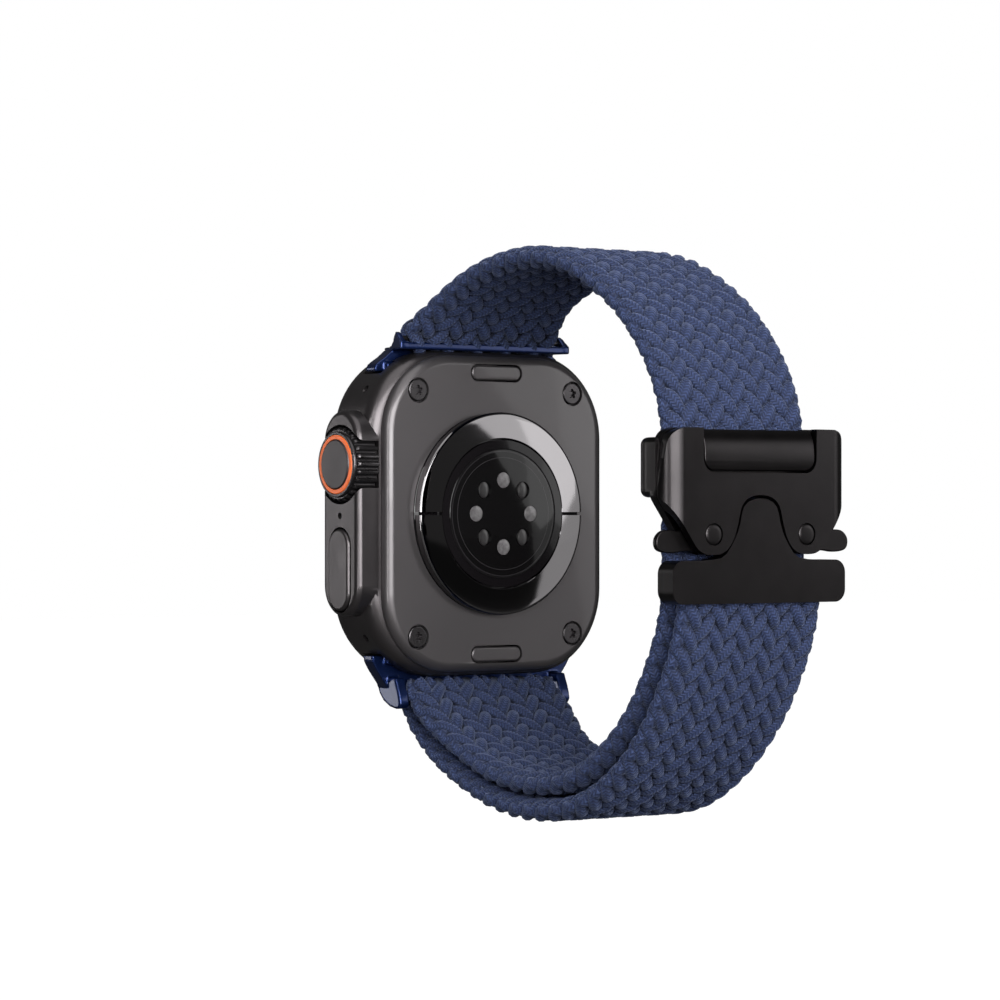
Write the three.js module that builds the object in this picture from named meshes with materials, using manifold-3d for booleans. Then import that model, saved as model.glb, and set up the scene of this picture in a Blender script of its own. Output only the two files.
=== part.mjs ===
// A wrist-worn fitness tracker on a braided strap with a quick-release latch buckle.
// Units are millimetres. The model is built around the middle of the tracker case:
// X runs across the strap (the crown is at -X), Y runs from the wrist (-Y) to the display (+Y), Z is up.
// At the end the whole assembly is moved so that the origin is under its middle, on its lowest point.
import * as THREE from "three";
import { mergeVertices } from "three/addons/utils/BufferGeometryUtils.js";
import Module from "manifold-3d";

const wasm = await Module();
wasm.setup();

// ---------- driving dimensions ----------
const GAP = 0.3; // clearance between neighbouring pieces
const CASE = { halfX: 22, halfZ: 24.5, radius: 13, back: -4.6, front: 6.2 };
const CAVITY = { halfX: 19.3, halfZ: 20, radius: 9.5 };
const COVER = { halfX: 19.7, halfZ: 23.6, radius: 11.6, inner: -4.9, outer: -6.5 };
const GLASS = { halfX: 18.8, halfZ: 21.6, radius: 10.4, back: 4.6, front: 6.4 };
const DOME = { radius: 15.05, wallTop: -7.98, crown: -8.4 };
const LED = { ring: 5.05, radius: 1.1 };
const SCREW = { x: 14.35, z: 18.4, headRadius: 1.65, shankRadius: 0.7 };
const SLOT = { y: 0.8, neckHalf: 1.6, headHalf: 2.4, floor: 21, shoulder: 22.9 };
const RELEASE = { z: 21.25, halfX: 4.55, halfZ: 1.1 };
const GUARD = { outer: -24.1, halfY: 4.8, halfZ: 15.4 };
const CROWN = { z: 7.3, radius: 5.6, outer: -25.1, inner: -20.7, teeth: 28 };
const SIDE_BUTTON = { z: -8.4, halfY: 2.7, halfZ: 6.1 };
const ACTION_BUTTON = { z: 5.5, halfY: 2.1, halfZ: 5.2 };
const STRAP = { halfWidth: 13, thickness: 3.2, tailThickness: 2.8 };
const LUG = { earInner: 14.7, rearHalf: 14.4, cheekInner: 14.2, outer: 15.8 };
const BUCKLE = { halfX: 16.3, front: -68.5, plateBack: -67.3, baseFront: -65.9, base: -64.5, rear: -59.9, roll: 3 };
const LEVER = { front: -67.05, back: -66.15 };
const RIVET = { x: 8.3, z: -2.85, radius: 1.45 };
const FLAP = { halfX: 9.8, bottom: 5.9, cornerRadius: 1.7, pivotY: -66.6, pivotZ: 9.8 };
const TONGUE = { halfX: 15.4, top: -6.4, bottom: -12.3, front: -68.4, stemBack: -66.2, back: -65.1 };

// Middle line of the strap, as [y, z]: from the upper lug over the top, down through
// the buckle and back along the inside to the bar of the lower lug.
const MAIN_ROUTE = [
  [-3.5, 25.6], [-5.2, 29.3], [-9.2, 32.2], [-15, 34.7], [-22.5, 36.5], [-31, 37.0], [-39, 35.6],
  [-46.5, 32.2], [-52.6, 28.0], [-57.8, 22.4], [-61.0, 16.8], [-62.3, 11.5], [-62.5, 6], [-62.5, 0],
  [-62.5, -7], [-62.0, -13.5], [-59.3, -20.2], [-54.9, -27.0], [-48.6, -33.0], [-40.8, -37.4],
  [-31, -38.9], [-21.3, -37.9], [-13.4, -35.0], [-8.2, -31.7], [-4.3, -28.7], [-1.0, -26.2],
];
// Middle line of the strap's tail: from the lower bar round the outside up into the tongue.
const TAIL_ROUTE = [
  [-0.4, -29.9], [-2.8, -33.0], [-7.2, -36.3], [-13.6, -39.3], [-21.6, -41.8], [-31, -42.7],
  [-42.1, -41.1], [-51.2, -36.1], [-58.1, -29.3], [-62.9, -21.6], [-65.3, -15.6], [-65.8, -12.2],
  [-65.8, -8.8],
];

// ---------- helpers ----------
function toSolid(geometry) {
  const bare = geometry.clone();
  bare.deleteAttribute("normal");
  bare.deleteAttribute("uv");
  const merged = mergeVertices(bare, 1e-4);
  return new wasm.Manifold(
    new wasm.Mesh({
      numProp: 3,
      vertProperties: new Float32Array(merged.attributes.position.array),
      triVerts: new Uint32Array(merged.index.array),
    }),
  );
}

function toGeometry(solid) {
  const mesh = solid.getMesh();
  const geometry = new THREE.BufferGeometry();
  geometry.setAttribute("position", new THREE.BufferAttribute(mesh.vertProperties, 3));
  geometry.setIndex(new THREE.BufferAttribute(mesh.triVerts, 1));
  const flat = geometry.toNonIndexed();
  flat.computeVertexNormals();
  return flat;
}

// Joins the solids of the first list and cuts away those of the second.
function combine(added, removed = []) {
  let solid = toSolid(added[0]);
  for (const geometry of added.slice(1)) solid = solid.add(toSolid(geometry));
  for (const geometry of removed) solid = solid.subtract(toSolid(geometry));
  return toGeometry(solid);
}

// What the two solids share.
function overlap(first, second) {
  return toGeometry(toSolid(first).intersect(toSolid(second)));
}

// An outline drawn in X and Y, given a thickness from z = low to z = high.
function plateZ(shape, low, high, segments = 5) {
  const geometry = new THREE.ExtrudeGeometry(shape, {
    depth: high - low,
    bevelEnabled: false,
    curveSegments: segments,
  });
  return geometry.translate(0, 0, low);
}

// An outline drawn in X and Z, given a thickness from y = low to y = high.
function plateY(shape, low, high, segments = 5) {
  const geometry = new THREE.ExtrudeGeometry(shape, {
    depth: high - low,
    bevelEnabled: false,
    curveSegments: segments,
  });
  return geometry.rotateX(Math.PI / 2).translate(0, high, 0);
}

// An outline drawn in Y and Z, given a thickness from x = low to x = high.
function plateX(shape, low, high, segments = 5) {
  const geometry = new THREE.ExtrudeGeometry(shape, {
    depth: high - low,
    bevelEnabled: false,
    curveSegments: segments,
  });
  const turn = new THREE.Matrix4().makeBasis(
    new THREE.Vector3(0, 1, 0),
    new THREE.Vector3(0, 0, 1),
    new THREE.Vector3(1, 0, 0),
  );
  return geometry.applyMatrix4(turn).translate(low, 0, 0);
}

function roundedRect(halfA, halfB, radius, centreA = 0, centreB = 0) {
  const shape = new THREE.Shape();
  const a = halfA - radius;
  const b = halfB - radius;
  shape.absarc(centreA + a, centreB - b, radius, -Math.PI / 2, 0);
  shape.absarc(centreA + a, centreB + b, radius, 0, Math.PI / 2);
  shape.absarc(centreA - a, centreB + b, radius, Math.PI / 2, Math.PI);
  shape.absarc(centreA - a, centreB - b, radius, Math.PI, 1.5 * Math.PI);
  shape.closePath();
  return shape;
}

function polygon(points) {
  return new THREE.Shape(points.map(([a, b]) => new THREE.Vector2(a, b)));
}

// A closed outline on a smooth curve through the points.
function curvedOutline(points, steps) {
  const curve = new THREE.CatmullRomCurve3(
    points.map(([a, b]) => new THREE.Vector3(a, b, 0)),
    true,
    "centripetal",
  );
  return polygon(curve.getPoints(steps).slice(0, steps).map(({ x, y }) => [x, y]));
}

function box(x0, x1, y0, y1, z0, z1) {
  const geometry = new THREE.BoxGeometry(x1 - x0, y1 - y0, z1 - z0);
  return geometry.translate((x0 + x1) / 2, (y0 + y1) / 2, (z0 + z1) / 2);
}

function rodX(radius, x0, x1, y, z, sides = 20) {
  const geometry = new THREE.CylinderGeometry(radius, radius, x1 - x0, sides);
  return geometry.rotateZ(Math.PI / 2).translate((x0 + x1) / 2, y, z);
}

function rodY(radius, y0, y1, x, z, sides = 20) {
  const geometry = new THREE.CylinderGeometry(radius, radius, y1 - y0, sides);
  return geometry.translate(x, (y0 + y1) / 2, z);
}

// A body that runs through rounded rectangles, each {y, halfX, halfZ, radius}, from low y to high y.
function loft(sections, cornerSteps = 7) {
  const rings = sections.map(({ y, halfX, halfZ, radius }) => {
    const ring = [];
    const corners = [
      [1, -1, -0.5],
      [1, 1, 0],
      [-1, 1, 0.5],
      [-1, -1, 1],
    ];
    for (const [signX, signZ, start] of corners) {
      for (let i = 0; i <= cornerSteps; i += 1) {
        const angle = (start + (0.5 * i) / cornerSteps) * Math.PI;
        const x = signX * (halfX - radius) + radius * Math.cos(angle);
        const z = signZ * (halfZ - radius) + radius * Math.sin(angle);
        ring.push([x, y, z]);
      }
    }
    return ring;
  });
  const count = rings[0].length;
  const positions = rings.flat(2);
  const indices = [];
  for (let r = 0; r + 1 < rings.length; r += 1) {
    for (let i = 0; i < count; i += 1) {
      const a = r * count + i;
      const b = r * count + ((i + 1) % count);
      indices.push(a, a + count, b, b, a + count, b + count);
    }
  }
  const last = (rings.length - 1) * count;
  for (let i = 1; i + 1 < count; i += 1) {
    indices.push(0, i, i + 1);
    indices.push(last, last + i + 1, last + i);
  }
  const geometry = new THREE.BufferGeometry();
  geometry.setAttribute("position", new THREE.Float32BufferAttribute(positions, 3));
  geometry.setIndex(indices);
  return geometry;
}

function slab(low, high, halfX, halfZ, radius, cornerSteps = 7) {
  return loft(
    [
      { y: low, halfX, halfZ, radius },
      { y: high, halfX, halfZ, radius },
    ],
    cornerSteps,
  );
}

// A turned body around Y: profile points are [radius, y], from the axis back to the axis.
function turnedY(profile, x = 0, z = 0, sides = 40) {
  const points = profile.map(([radius, y]) => new THREE.Vector2(radius, y));
  return new THREE.LatheGeometry(points, sides).translate(x, 0, z);
}

const tracker = new THREE.Group();
const band = new THREE.Group();
const buckle = new THREE.Group();
const tail = new THREE.Group();

const FINISH = {
  titanium: { color: 0x3c393b, roughness: 0.38, metalness: 0.9 },
  darkSteel: { color: 0x2a2829, roughness: 0.35, metalness: 0.9 },
  sensorRing: { color: 0x8f8c8e, roughness: 0.12, metalness: 0.95 },
  blackGlass: { color: 0x0a090a, roughness: 0.06, metalness: 0 },
  lens: { color: 0x8a8788, roughness: 0.2, metalness: 0.2 },
  orange: { color: 0xe8642a, roughness: 0.4, metalness: 0.3 },
  blueMetal: { color: 0x16275e, roughness: 0.3, metalness: 0.85 },
  braid: { color: 0x3c486c, roughness: 0.85, metalness: 0 },
  blackMetal: { color: 0x1c1b1c, roughness: 0.42, metalness: 0.6 },
  spring: { color: 0x8d8f92, roughness: 0.3, metalness: 0.9 },
  seal: { color: 0x171717, roughness: 0.8, metalness: 0 },
  circuit: { color: 0x1d3a2a, roughness: 0.6, metalness: 0.1 },
  cell: { color: 0x6b6d70, roughness: 0.4, metalness: 0.5 },
  copper: { color: 0x9a5b32, roughness: 0.4, metalness: 0.8 },
};
const materials = new Map();
for (const [name, look] of Object.entries(FINISH)) {
  materials.set(name, new THREE.MeshStandardMaterial(look));
}

function put(group, name, geometry, finish) {
  const mesh = new THREE.Mesh(geometry, materials.get(finish));
  mesh.name = name;
  group.add(mesh);
}

// ---------- tracker case ----------
const CASE_SIDE = [
  [CASE.back, 2.3, 0.9],
  [-3.6, 1.1, 0.45],
  [-2.2, 0.35, 0.12],
  [-0.5, 0, 0],
  [2.6, 0, 0],
  [4.4, 0.45, 0.3],
  [5.6, 1.2, 0.9],
  [CASE.front, 2.1, 1.7],
];

function buttonPocket(button, low, high) {
  const halfY = button.halfY + GAP;
  return plateX(roundedRect(halfY, button.halfZ + GAP, halfY - 0.02, 0, button.z), low, high, 6);
}

function caseBody() {
  const outer = loft(
    CASE_SIDE.map(([y, insetX, insetZ]) => ({
      y,
      halfX: CASE.halfX - insetX,
      halfZ: CASE.halfZ - insetZ,
      radius: CASE.radius - (insetX + insetZ) / 2,
    })),
    9,
  );
  const guard = plateX(roundedRect(GUARD.halfY, GUARD.halfZ, GUARD.halfY - 0.2), GUARD.outer, -20, 6);
  const cuts = [
    slab(CASE.back - 1, GLASS.back, CAVITY.halfX, CAVITY.halfZ, CAVITY.radius),
    slab(GLASS.back - GAP, CASE.front + 1, GLASS.halfX + GAP, GLASS.halfZ + GAP, GLASS.radius + GAP),
    // crown pocket and its stem hole
    rodX(CROWN.radius + 0.35, -30, CROWN.inner + 0.35, 0, CROWN.z, 32),
    rodX(1.5, -22, -18, 0, CROWN.z, 16),
    // side button pocket, its stem hole and the microphone hole
    buttonPocket(SIDE_BUTTON, -30, -22.2),
    rodX(1.2, -23, -18, 0, SIDE_BUTTON.z, 14),
    rodX(0.5, -25, -22.8, 0, -0.35, 10),
    // action button pocket on the far side, its stem hole and the speaker slots
    buttonPocket(ACTION_BUTTON, 20.9, 30),
    rodX(1.2, 18, 22, 0, ACTION_BUTTON.z, 14),
    ...[-5, -8, -11].map((z) => box(21, 24, -0.45, 0.45, z - 1, z + 1)),
  ];
  for (const side of [1, -1]) {
    const z = (low, high) => (side > 0 ? [low, high] : [-high, -low]);
    // band slot: a narrow neck over a wider head, open at both ends
    cuts.push(box(-25, 25, SLOT.y - SLOT.neckHalf, SLOT.y + SLOT.neckHalf, ...z(SLOT.shoulder - 0.1, 26)));
    cuts.push(box(-25, 25, SLOT.y - SLOT.headHalf, SLOT.y + SLOT.headHalf, ...z(SLOT.floor, SLOT.shoulder)));
    // groove for the lock pin, and the pocket of the release button that reaches it
    cuts.push(box(-25, 25, -2.8, SLOT.y, ...z(21.1, 22.5)));
    cuts.push(
      plateY(roundedRect(3.6, 0.75, 0.74, 0, side * 21.8), CASE.back - 0.5, -2.4, 4),
    );
    cuts.push(
      plateY(
        roundedRect(RELEASE.halfX + GAP, RELEASE.halfZ + GAP, RELEASE.halfZ + 0.28, 0, side * RELEASE.z),
        CASE.back - 0.5,
        -3.8,
        4,
      ),
    );
    for (const sideX of [-1, 1]) {
      cuts.push(rodY(SCREW.shankRadius + 0.2, -6, -2.5, sideX * 14.35, side * SCREW.z, 10));
    }
  }
  return combine([outer, guard], cuts);
}
put(tracker, "case_body", caseBody(), "titanium");

// ---------- back cover, screws and release buttons ----------
function backCover() {
  const rolled = loft(
    [
      [COVER.inner, 0, 0],
      [-5.5, 0.2, 0.15],
      [-6.0, 0.8, 0.6],
      [-6.35, 1.9, 1.4],
      [COVER.outer, 3.3, 2.4],
    ]
      .reverse()
      .map(([y, insetX, insetZ]) => ({
        y,
        halfX: COVER.halfX - insetX,
        halfZ: COVER.halfZ - insetZ,
        radius: COVER.radius - (insetX + insetZ) / 2,
      })),
  );
  const lip = slab(COVER.inner - 0.2, -4.1, CAVITY.halfX - 0.4, CAVITY.halfZ - 0.4, CAVITY.radius - 0.4);
  const cuts = [
    slab(COVER.inner, -3.5, CAVITY.halfX - 1.3, CAVITY.halfZ - 1.3, CAVITY.radius - 1.3),
    rodY(DOME.radius + GAP, -8, -3, 0, 0, 40),
  ];
  for (const sideZ of [-1, 1]) {
    cuts.push(
      plateY(
        roundedRect(RELEASE.halfX + GAP, RELEASE.halfZ + GAP, RELEASE.halfZ + 0.28, 0, sideZ * RELEASE.z),
        -8,
        -3,
        4,
      ),
    );
    for (const sideX of [-1, 1]) {
      cuts.push(rodY(SCREW.headRadius + 0.2, -8, -5.6, sideX * SCREW.x, sideZ * SCREW.z, 20));
      cuts.push(rodY(SCREW.shankRadius + 0.2, -8, -3, sideX * SCREW.x, sideZ * SCREW.z, 10));
    }
  }
  return combine([rolled, lip], cuts);
}
put(tracker, "back_cover", backCover(), "titanium");

function coverScrew(x, z) {
  const body = turnedY(
    [
      [0, -6.45],
      [SCREW.headRadius - 0.15, -6.45],
      [SCREW.headRadius, -6.3],
      [SCREW.headRadius, -5.75],
      [SCREW.shankRadius, -5.75],
      [SCREW.shankRadius, -2.9],
      [0, -2.9],
    ],
    x,
    z,
    18,
  );
  const star = rodY(0.75, -7, -6.1, x, z, 5);
  return combine([body], [star]);
}
const CORNERS = [
  ["upper_left", -1, 1],
  ["upper_right", 1, 1],
  ["lower_left", -1, -1],
  ["lower_right", 1, -1],
];
for (const [corner, sideX, sideZ] of CORNERS) {
  put(tracker, `cover_screw_${corner}`, coverScrew(sideX * SCREW.x, sideZ * SCREW.z), "darkSteel");
}

const ENDS = [
  ["upper", 1],
  ["lower", -1],
];
for (const [end, side] of ENDS) {
  const cap = plateY(
    roundedRect(RELEASE.halfX, RELEASE.halfZ, RELEASE.halfZ - 0.02, 0, side * RELEASE.z),
    -6.55,
    -4.5,
    6,
  );
  const foot = plateY(roundedRect(3.3, 0.4, 0.39, 0, side * 21.8), -4.7, -3.35, 4);
  put(tracker, `release_button_${end}`, combine([cap, foot]), "titanium");
}

// ---------- sensor dome ----------
put(
  tracker,
  "sensor_dome",
  turnedY([
    [0, -7.3],
    [10.1, -7.3],
    [10.1, -8.0],
    [10.9, -8.0],
    [11, -7.25],
    [14.3, -6.9],
    [DOME.radius, -6.4],
    [DOME.radius, -5.9],
    [13.6, -5.3],
    [13.6, -4.4],
    [0, -4.4],
  ]),
  "blackGlass",
);

// The ring over the dome's shoulder is split into two electrodes by a thin gap on each side.
function electrode(side) {
  const ring = turnedY([
    [11.25, -7.55],
    [11.25, -8.15],
    [13, -8.08],
    [14.6, DOME.wallTop],
    [DOME.radius, -7.65],
    [DOME.radius, -6.75],
    [14.45, -7.2],
    [11.25, -7.55],
  ]);
  return combine([ring], [box(-20, 20, -10, 0, side > 0 ? -20 : -0.3, side > 0 ? 0.3 : 20)]);
}
for (const [end, side] of ENDS) put(tracker, `electrode_${end}`, electrode(side), "sensorRing");

function sensorWindow() {
  const disc = turnedY([
    [0, DOME.crown],
    [3.5, DOME.crown],
    [7, -8.3],
    [9.8, -8.15],
    [9.8, -7.6],
    [0, -7.6],
  ]);
  const wells = [];
  for (let i = 0; i < 8; i += 1) {
    const angle = (i * Math.PI) / 4;
    const at = [LED.ring * Math.cos(angle), LED.ring * Math.sin(angle)];
    wells.push(rodY(LED.radius + 0.15, -9.5, -7.85, ...at, 12));
  }
  return combine([disc], wells);
}
put(tracker, "sensor_window", sensorWindow(), "blackGlass");
const QUARTERS = ["right", "top", "left", "bottom"];
QUARTERS.forEach((quarter, i) => {
  const angle = (i * Math.PI) / 2;
  const at = [LED.ring * Math.cos(angle), LED.ring * Math.sin(angle)];
  put(tracker, `led_lens_${quarter}`, rodY(LED.radius, -8.36, -7.95, ...at, 12), "lens");
  const turned = angle + Math.PI / 4;
  const between = [LED.ring * Math.cos(turned), LED.ring * Math.sin(turned)];
  put(tracker, `light_sensor_${i + 1}`, rodY(LED.radius - 0.1, -8.3, -7.95, ...between, 12), "darkSteel");
});

// ---------- display and inner parts ----------
put(
  tracker,
  "display_glass",
  loft([
    { y: GLASS.back, halfX: GLASS.halfX, halfZ: GLASS.halfZ, radius: GLASS.radius },
    { y: GLASS.front - 0.4, halfX: GLASS.halfX, halfZ: GLASS.halfZ, radius: GLASS.radius },
    { y: GLASS.front, halfX: GLASS.halfX - 0.6, halfZ: GLASS.halfZ - 0.6, radius: GLASS.radius - 0.6 },
  ]),
  "blackGlass",
);
put(tracker, "display_panel", slab(3.2, 4.2, 18.2, 19, 8.5, 4), "blackGlass");
put(tracker, "main_board", slab(1.9, 2.8, 16.4, 18.5, 7, 3), "circuit");
put(tracker, "battery_cell", slab(-3, 1.5, 11.5, 10.5, 1.5, 2), "cell");
put(tracker, "haptic_motor", box(-11, 11, -2.6, 1.4, 13, 16.8), "darkSteel");
put(tracker, "speaker_module", box(12.5, 17.5, -2, 1.4, -11, -3), "seal");
put(
  tracker,
  "charging_coil",
  turnedY([
    [6, -4],
    [13, -4],
    [13, -3.4],
    [6, -3.4],
    [6, -4],
  ], 0, 0, 24),
  "copper",
);

// ---------- crown, side button and action button ----------
function crownWheel() {
  const wheel = new THREE.Shape();
  for (let i = 0; i < CROWN.teeth; i += 1) {
    const step = (2 * Math.PI) / CROWN.teeth;
    for (const [share, radius] of [
      [-0.3, CROWN.radius - 0.55],
      [-0.17, CROWN.radius],
      [0.17, CROWN.radius],
      [0.3, CROWN.radius - 0.55],
    ]) {
      const angle = (i + share) * step;
      const y = radius * Math.cos(angle);
      const z = radius * Math.sin(angle);
      if (i === 0 && share === -0.3) wheel.moveTo(y, z);
      else wheel.lineTo(y, z);
    }
  }
  wheel.closePath();
  const knurl = plateX(wheel, -24.3, CROWN.inner).translate(0, 0, CROWN.z);
  const face = rodX(CROWN.radius - 0.6, -24.8, -24.2, 0, CROWN.z, 32);
  const cuts = [rodX(4.5, -26, -24.5, 0, CROWN.z, 32), rodX(1.4, -23.1, -20, 0, CROWN.z, 14)];
  return combine([knurl, face], cuts);
}
put(tracker, "crown_wheel", crownWheel(), "darkSteel");
put(
  tracker,
  "crown_ring",
  combine(
    [rodX(4.35, -24.95, -24.6, 0, CROWN.z, 32)],
    [rodX(3.85, -26, -24, 0, CROWN.z, 32)],
  ),
  "orange",
);
put(tracker, "crown_stem", rodX(1.1, -22.8, -17.5, 0, CROWN.z, 14), "darkSteel");
put(tracker, "crown_cap", rodX(3.7, CROWN.outer, -24.6, 0, CROWN.z, 32), "titanium");

const sideCap = plateX(
  roundedRect(SIDE_BUTTON.halfY, SIDE_BUTTON.halfZ, SIDE_BUTTON.halfY - 0.02, 0, SIDE_BUTTON.z),
  -24.4,
  -22.9,
  7,
);
put(
  tracker,
  "side_button",
  combine([sideCap, rodX(0.9, -23, -18.4, 0, SIDE_BUTTON.z, 12)]),
  "titanium",
);
const actionCap = plateX(
  roundedRect(ACTION_BUTTON.halfY, ACTION_BUTTON.halfZ, ACTION_BUTTON.halfY - 0.02, 0, ACTION_BUTTON.z),
  21.5,
  22.5,
  7,
);
put(
  tracker,
  "action_button",
  combine([actionCap, rodX(0.9, 18.4, 21.6, 0, ACTION_BUTTON.z, 12)]),
  "orange",
);

// ---------- lugs ----------
// One lug: the rail that slides into the case, the flared web over it, a base and the ends that hold the strap's bar.
function lug(side, flare, baseProfile, ends) {
  const head = box(
    -16.4,
    16.4,
    SLOT.y - 2.1,
    SLOT.y + 2.1,
    ...(side > 0 ? [21.3, 22.6] : [-22.6, -21.3]),
  );
  const webOutline = mirrored(flare).map(([x, height]) => [x, height * side]);
  const web = plateY(polygon(webOutline), SLOT.y - 1.3, SLOT.y + 1.3);
  const standing = (profile, low, high) =>
    plateX(polygon(profile.map(([y, height]) => [y, height * side])), low, high);
  const both = ends.flatMap(({ profile, inner, outer }) => [
    standing(profile, inner, outer),
    standing(profile, -outer, -inner),
  ]);
  return [head, web, standing(baseProfile, -LUG.outer, LUG.outer), ...both];
}

// Half the outline of each lug's web, from the rail out to the flare and in to the base.
const UPPER_FLARE = [
  [17.0, 21.35],
  [18.0, 21.3],
  [18.15, 21.7],
  [17.8, 22.5],
  [17.0, 22.95],
  [16.2, 23.5],
  [15.2, 24.3],
  [14.5, 25.0],
];
const LOWER_FLARE = [
  [17.0, 21.35],
  [18.6, 21.3],
  [18.4, 22.2],
  [17.7, 23.4],
  [16.9, 24.5],
  [16.3, 25.3],
  [15.8, 26.1],
];
const UPPER_BAR = { y: -2.1, z: 26.3, radius: 0.4, loop: 1.1 };
const UPPER_BASE = [
  [2.6, 24.6],
  [2.4, 25.0],
  [-0.4, 25.0],
  [-0.6, 24.9],
  [-3.5, 24.9],
  [-3.5, 25.6],
  [-3.9, 25.6],
  [-3.9, 24.6],
];
const UPPER_EAR = [
  [2.6, 24.6],
  [2.4, 24.95],
  [1.2, 25.0],
  [-0.3, 25.3],
  [-1.0, 26.0],
  [-1.45, 26.75],
  [-1.85, 27.1],
  [-2.35, 27.1],
  [-2.75, 26.75],
  [-3.3, 26.1],
  [-3.9, 25.6],
  [-3.9, 24.6],
];
const LOWER_BAR = { y: -1.85, z: -27.9, radius: 0.65, loop: 2.0 };
const LOWER_BASE = [
  [2.6, 24.6],
  [2.4, 25.4],
  [-0.5, 25.4],
  [-0.5, 24.6],
];
// The lower lug's cheek curves forward round the strap's bar.
const LOWER_CHEEK = [
  [2.1, 24.6],
  [2.3, 25.8],
  [1.8, 27.0],
  [0.7, 28.1],
  [-0.9, 28.9],
  [-2.6, 29.2],
  [-3.8, 29.1],
  [-4.2, 28.6],
  [-3.9, 27.9],
  [-3.1, 27.3],
  [-1.9, 26.6],
  [-1.2, 25.8],
  [-1.0, 24.6],
];

function lockPocket(side) {
  return box(-1.4, 1.4, -2.5, SLOT.y + 0.9, side > 0 ? 21.15 : -22.1, side > 0 ? 22.1 : -21.15);
}
const barReach = LUG.earInner + 0.4;
const barHole = ({ radius, y, z }) => rodX(radius + 0.05, -barReach - 0.05, barReach + 0.05, y, z, 16);
const upperLug = lug(1, UPPER_FLARE, UPPER_BASE, [
  { profile: UPPER_EAR, inner: LUG.earInner, outer: LUG.outer },
]);
const lowerLug = lug(-1, LOWER_FLARE, LOWER_BASE, [
  { profile: LOWER_CHEEK, inner: LUG.cheekInner, outer: LUG.outer },
]);
// Seen from above, the upper lug's ends taper towards the display.
const taper = [-1, 1].map((side) =>
  plateZ(
    polygon([
      [side * LUG.outer, -3.9],
      [side * LUG.rearHalf, 2.7],
      [side * 20, 2.7],
      [side * 20, -3.9],
    ]),
    24.55,
    30,
  ),
);
put(band, "lug_upper", combine(upperLug, [lockPocket(1), barHole(UPPER_BAR), ...taper]), "blueMetal");
put(band, "lug_lower", combine(lowerLug, [lockPocket(-1), barHole(LOWER_BAR)]), "blueMetal");
for (const [end, { radius, y, z }] of [
  ["upper", UPPER_BAR],
  ["lower", LOWER_BAR],
]) {
  put(band, `strap_bar_${end}`, rodX(radius, -barReach, barReach, y, z, 14), "darkSteel");
}
for (const [end, side] of ENDS) {
  const low = side > 0 ? 21.4 : -21.85;
  put(band, `lock_pin_${end}`, box(-1.1, 1.1, -2.2, 0.7, low, low + 0.45), "spring");
}

// ---------- strap ----------
function sweep(route, halfWidth, thickness, steps) {
  const curve = new THREE.CatmullRomCurve3(
    route.map(([y, z]) => new THREE.Vector3(0, y, z)),
    false,
    "catmullrom",
    0.5,
  );
  const section = roundedRect(halfWidth, thickness / 2, 1.2);
  return new THREE.ExtrudeGeometry(section, { steps, extrudePath: curve, curveSegments: 2 });
}
const loopRound = ({ loop, y, z }) => rodX(loop, -STRAP.halfWidth, STRAP.halfWidth, y, z, 24);
put(
  band,
  "strap_main",
  combine(
    [
      sweep(MAIN_ROUTE, STRAP.halfWidth, STRAP.thickness, 60),
      loopRound(UPPER_BAR),
      loopRound(LOWER_BAR),
    ],
    [
      rodX(UPPER_BAR.radius + GAP, -20, 20, UPPER_BAR.y, UPPER_BAR.z, 14),
      rodX(LOWER_BAR.radius + GAP, -20, 20, LOWER_BAR.y, LOWER_BAR.z, 14),
      box(-20, 20, -7.2, UPPER_BAR.y - UPPER_BAR.loop, 24, 25.9),
      box(-20, 20, UPPER_BAR.y - UPPER_BAR.loop - 0.1, 2.4, 24, UPPER_BAR.z - UPPER_BAR.loop),
    ],
  ),
  "braid",
);
const TONGUE_BAR = { y: -65.9, z: -10.4, radius: 0.5 };
put(
  tail,
  "strap_tail",
  combine(
    [sweep(TAIL_ROUTE, STRAP.halfWidth, STRAP.tailThickness, 40)],
    [
      rodX(LOWER_BAR.loop + GAP, -20, 20, LOWER_BAR.y, LOWER_BAR.z, 24),
      rodX(TONGUE_BAR.radius + GAP, -20, 20, TONGUE_BAR.y, TONGUE_BAR.z, 14),
    ],
  ),
  "braid",
);

// ---------- buckle: frame, front plate, rivets ----------
// Outline shared by the two plates: nearly straight sides, sloping shoulders and two rounded lobes.
const PLATE_RIGHT = [
  [12.6, 11.7],
  [13.7, 11.6],
  [14.7, 11.15],
  [15.35, 10.4],
  [15.65, 9.4],
  [15.95, 6.4],
  [16.3, 3.0],
  [16.2, 2.2],
  [15.8, 1.5],
  [13.4, -1.8],
  [11.7, -4.15],
  [11.0, -4.9],
  [10.1, -5.4],
  [9.2, -5.6],
  [7.6, -5.6],
  [6.6, -5.3],
  [5.8, -4.8],
  [5.2, -4.1],
];
// The notch that takes the tongue's stem, from its right edge round its arched top.
const NOTCH_RIGHT = [
  [4.6, -2.5],
  [3.65, 0.2],
  [3.5, 1.2],
  [2.95, 2.0],
  [2.0, 2.42],
  [0, 2.55],
];
function mirrored(right) {
  const left = right.map(([x, z]) => [-x, z]).reverse();
  return left[0][0] === -right[right.length - 1][0] && left[0][0] === 0
    ? [...right, ...left.slice(1)]
    : [...right, ...left];
}
const plateOutline = polygon(mirrored([...PLATE_RIGHT, ...NOTCH_RIGHT]));
const flapWindow = (low, high) => {
  const halfX = FLAP.halfX + GAP;
  return plateY(roundedRect(halfX, 5, 2, 0, FLAP.bottom - GAP + 5), low, high);
};

function rivetHoles(radius, low, high) {
  return [-1, 1].map((side) => rodY(radius, low, high, side * RIVET.x, RIVET.z, 16));
}

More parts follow.
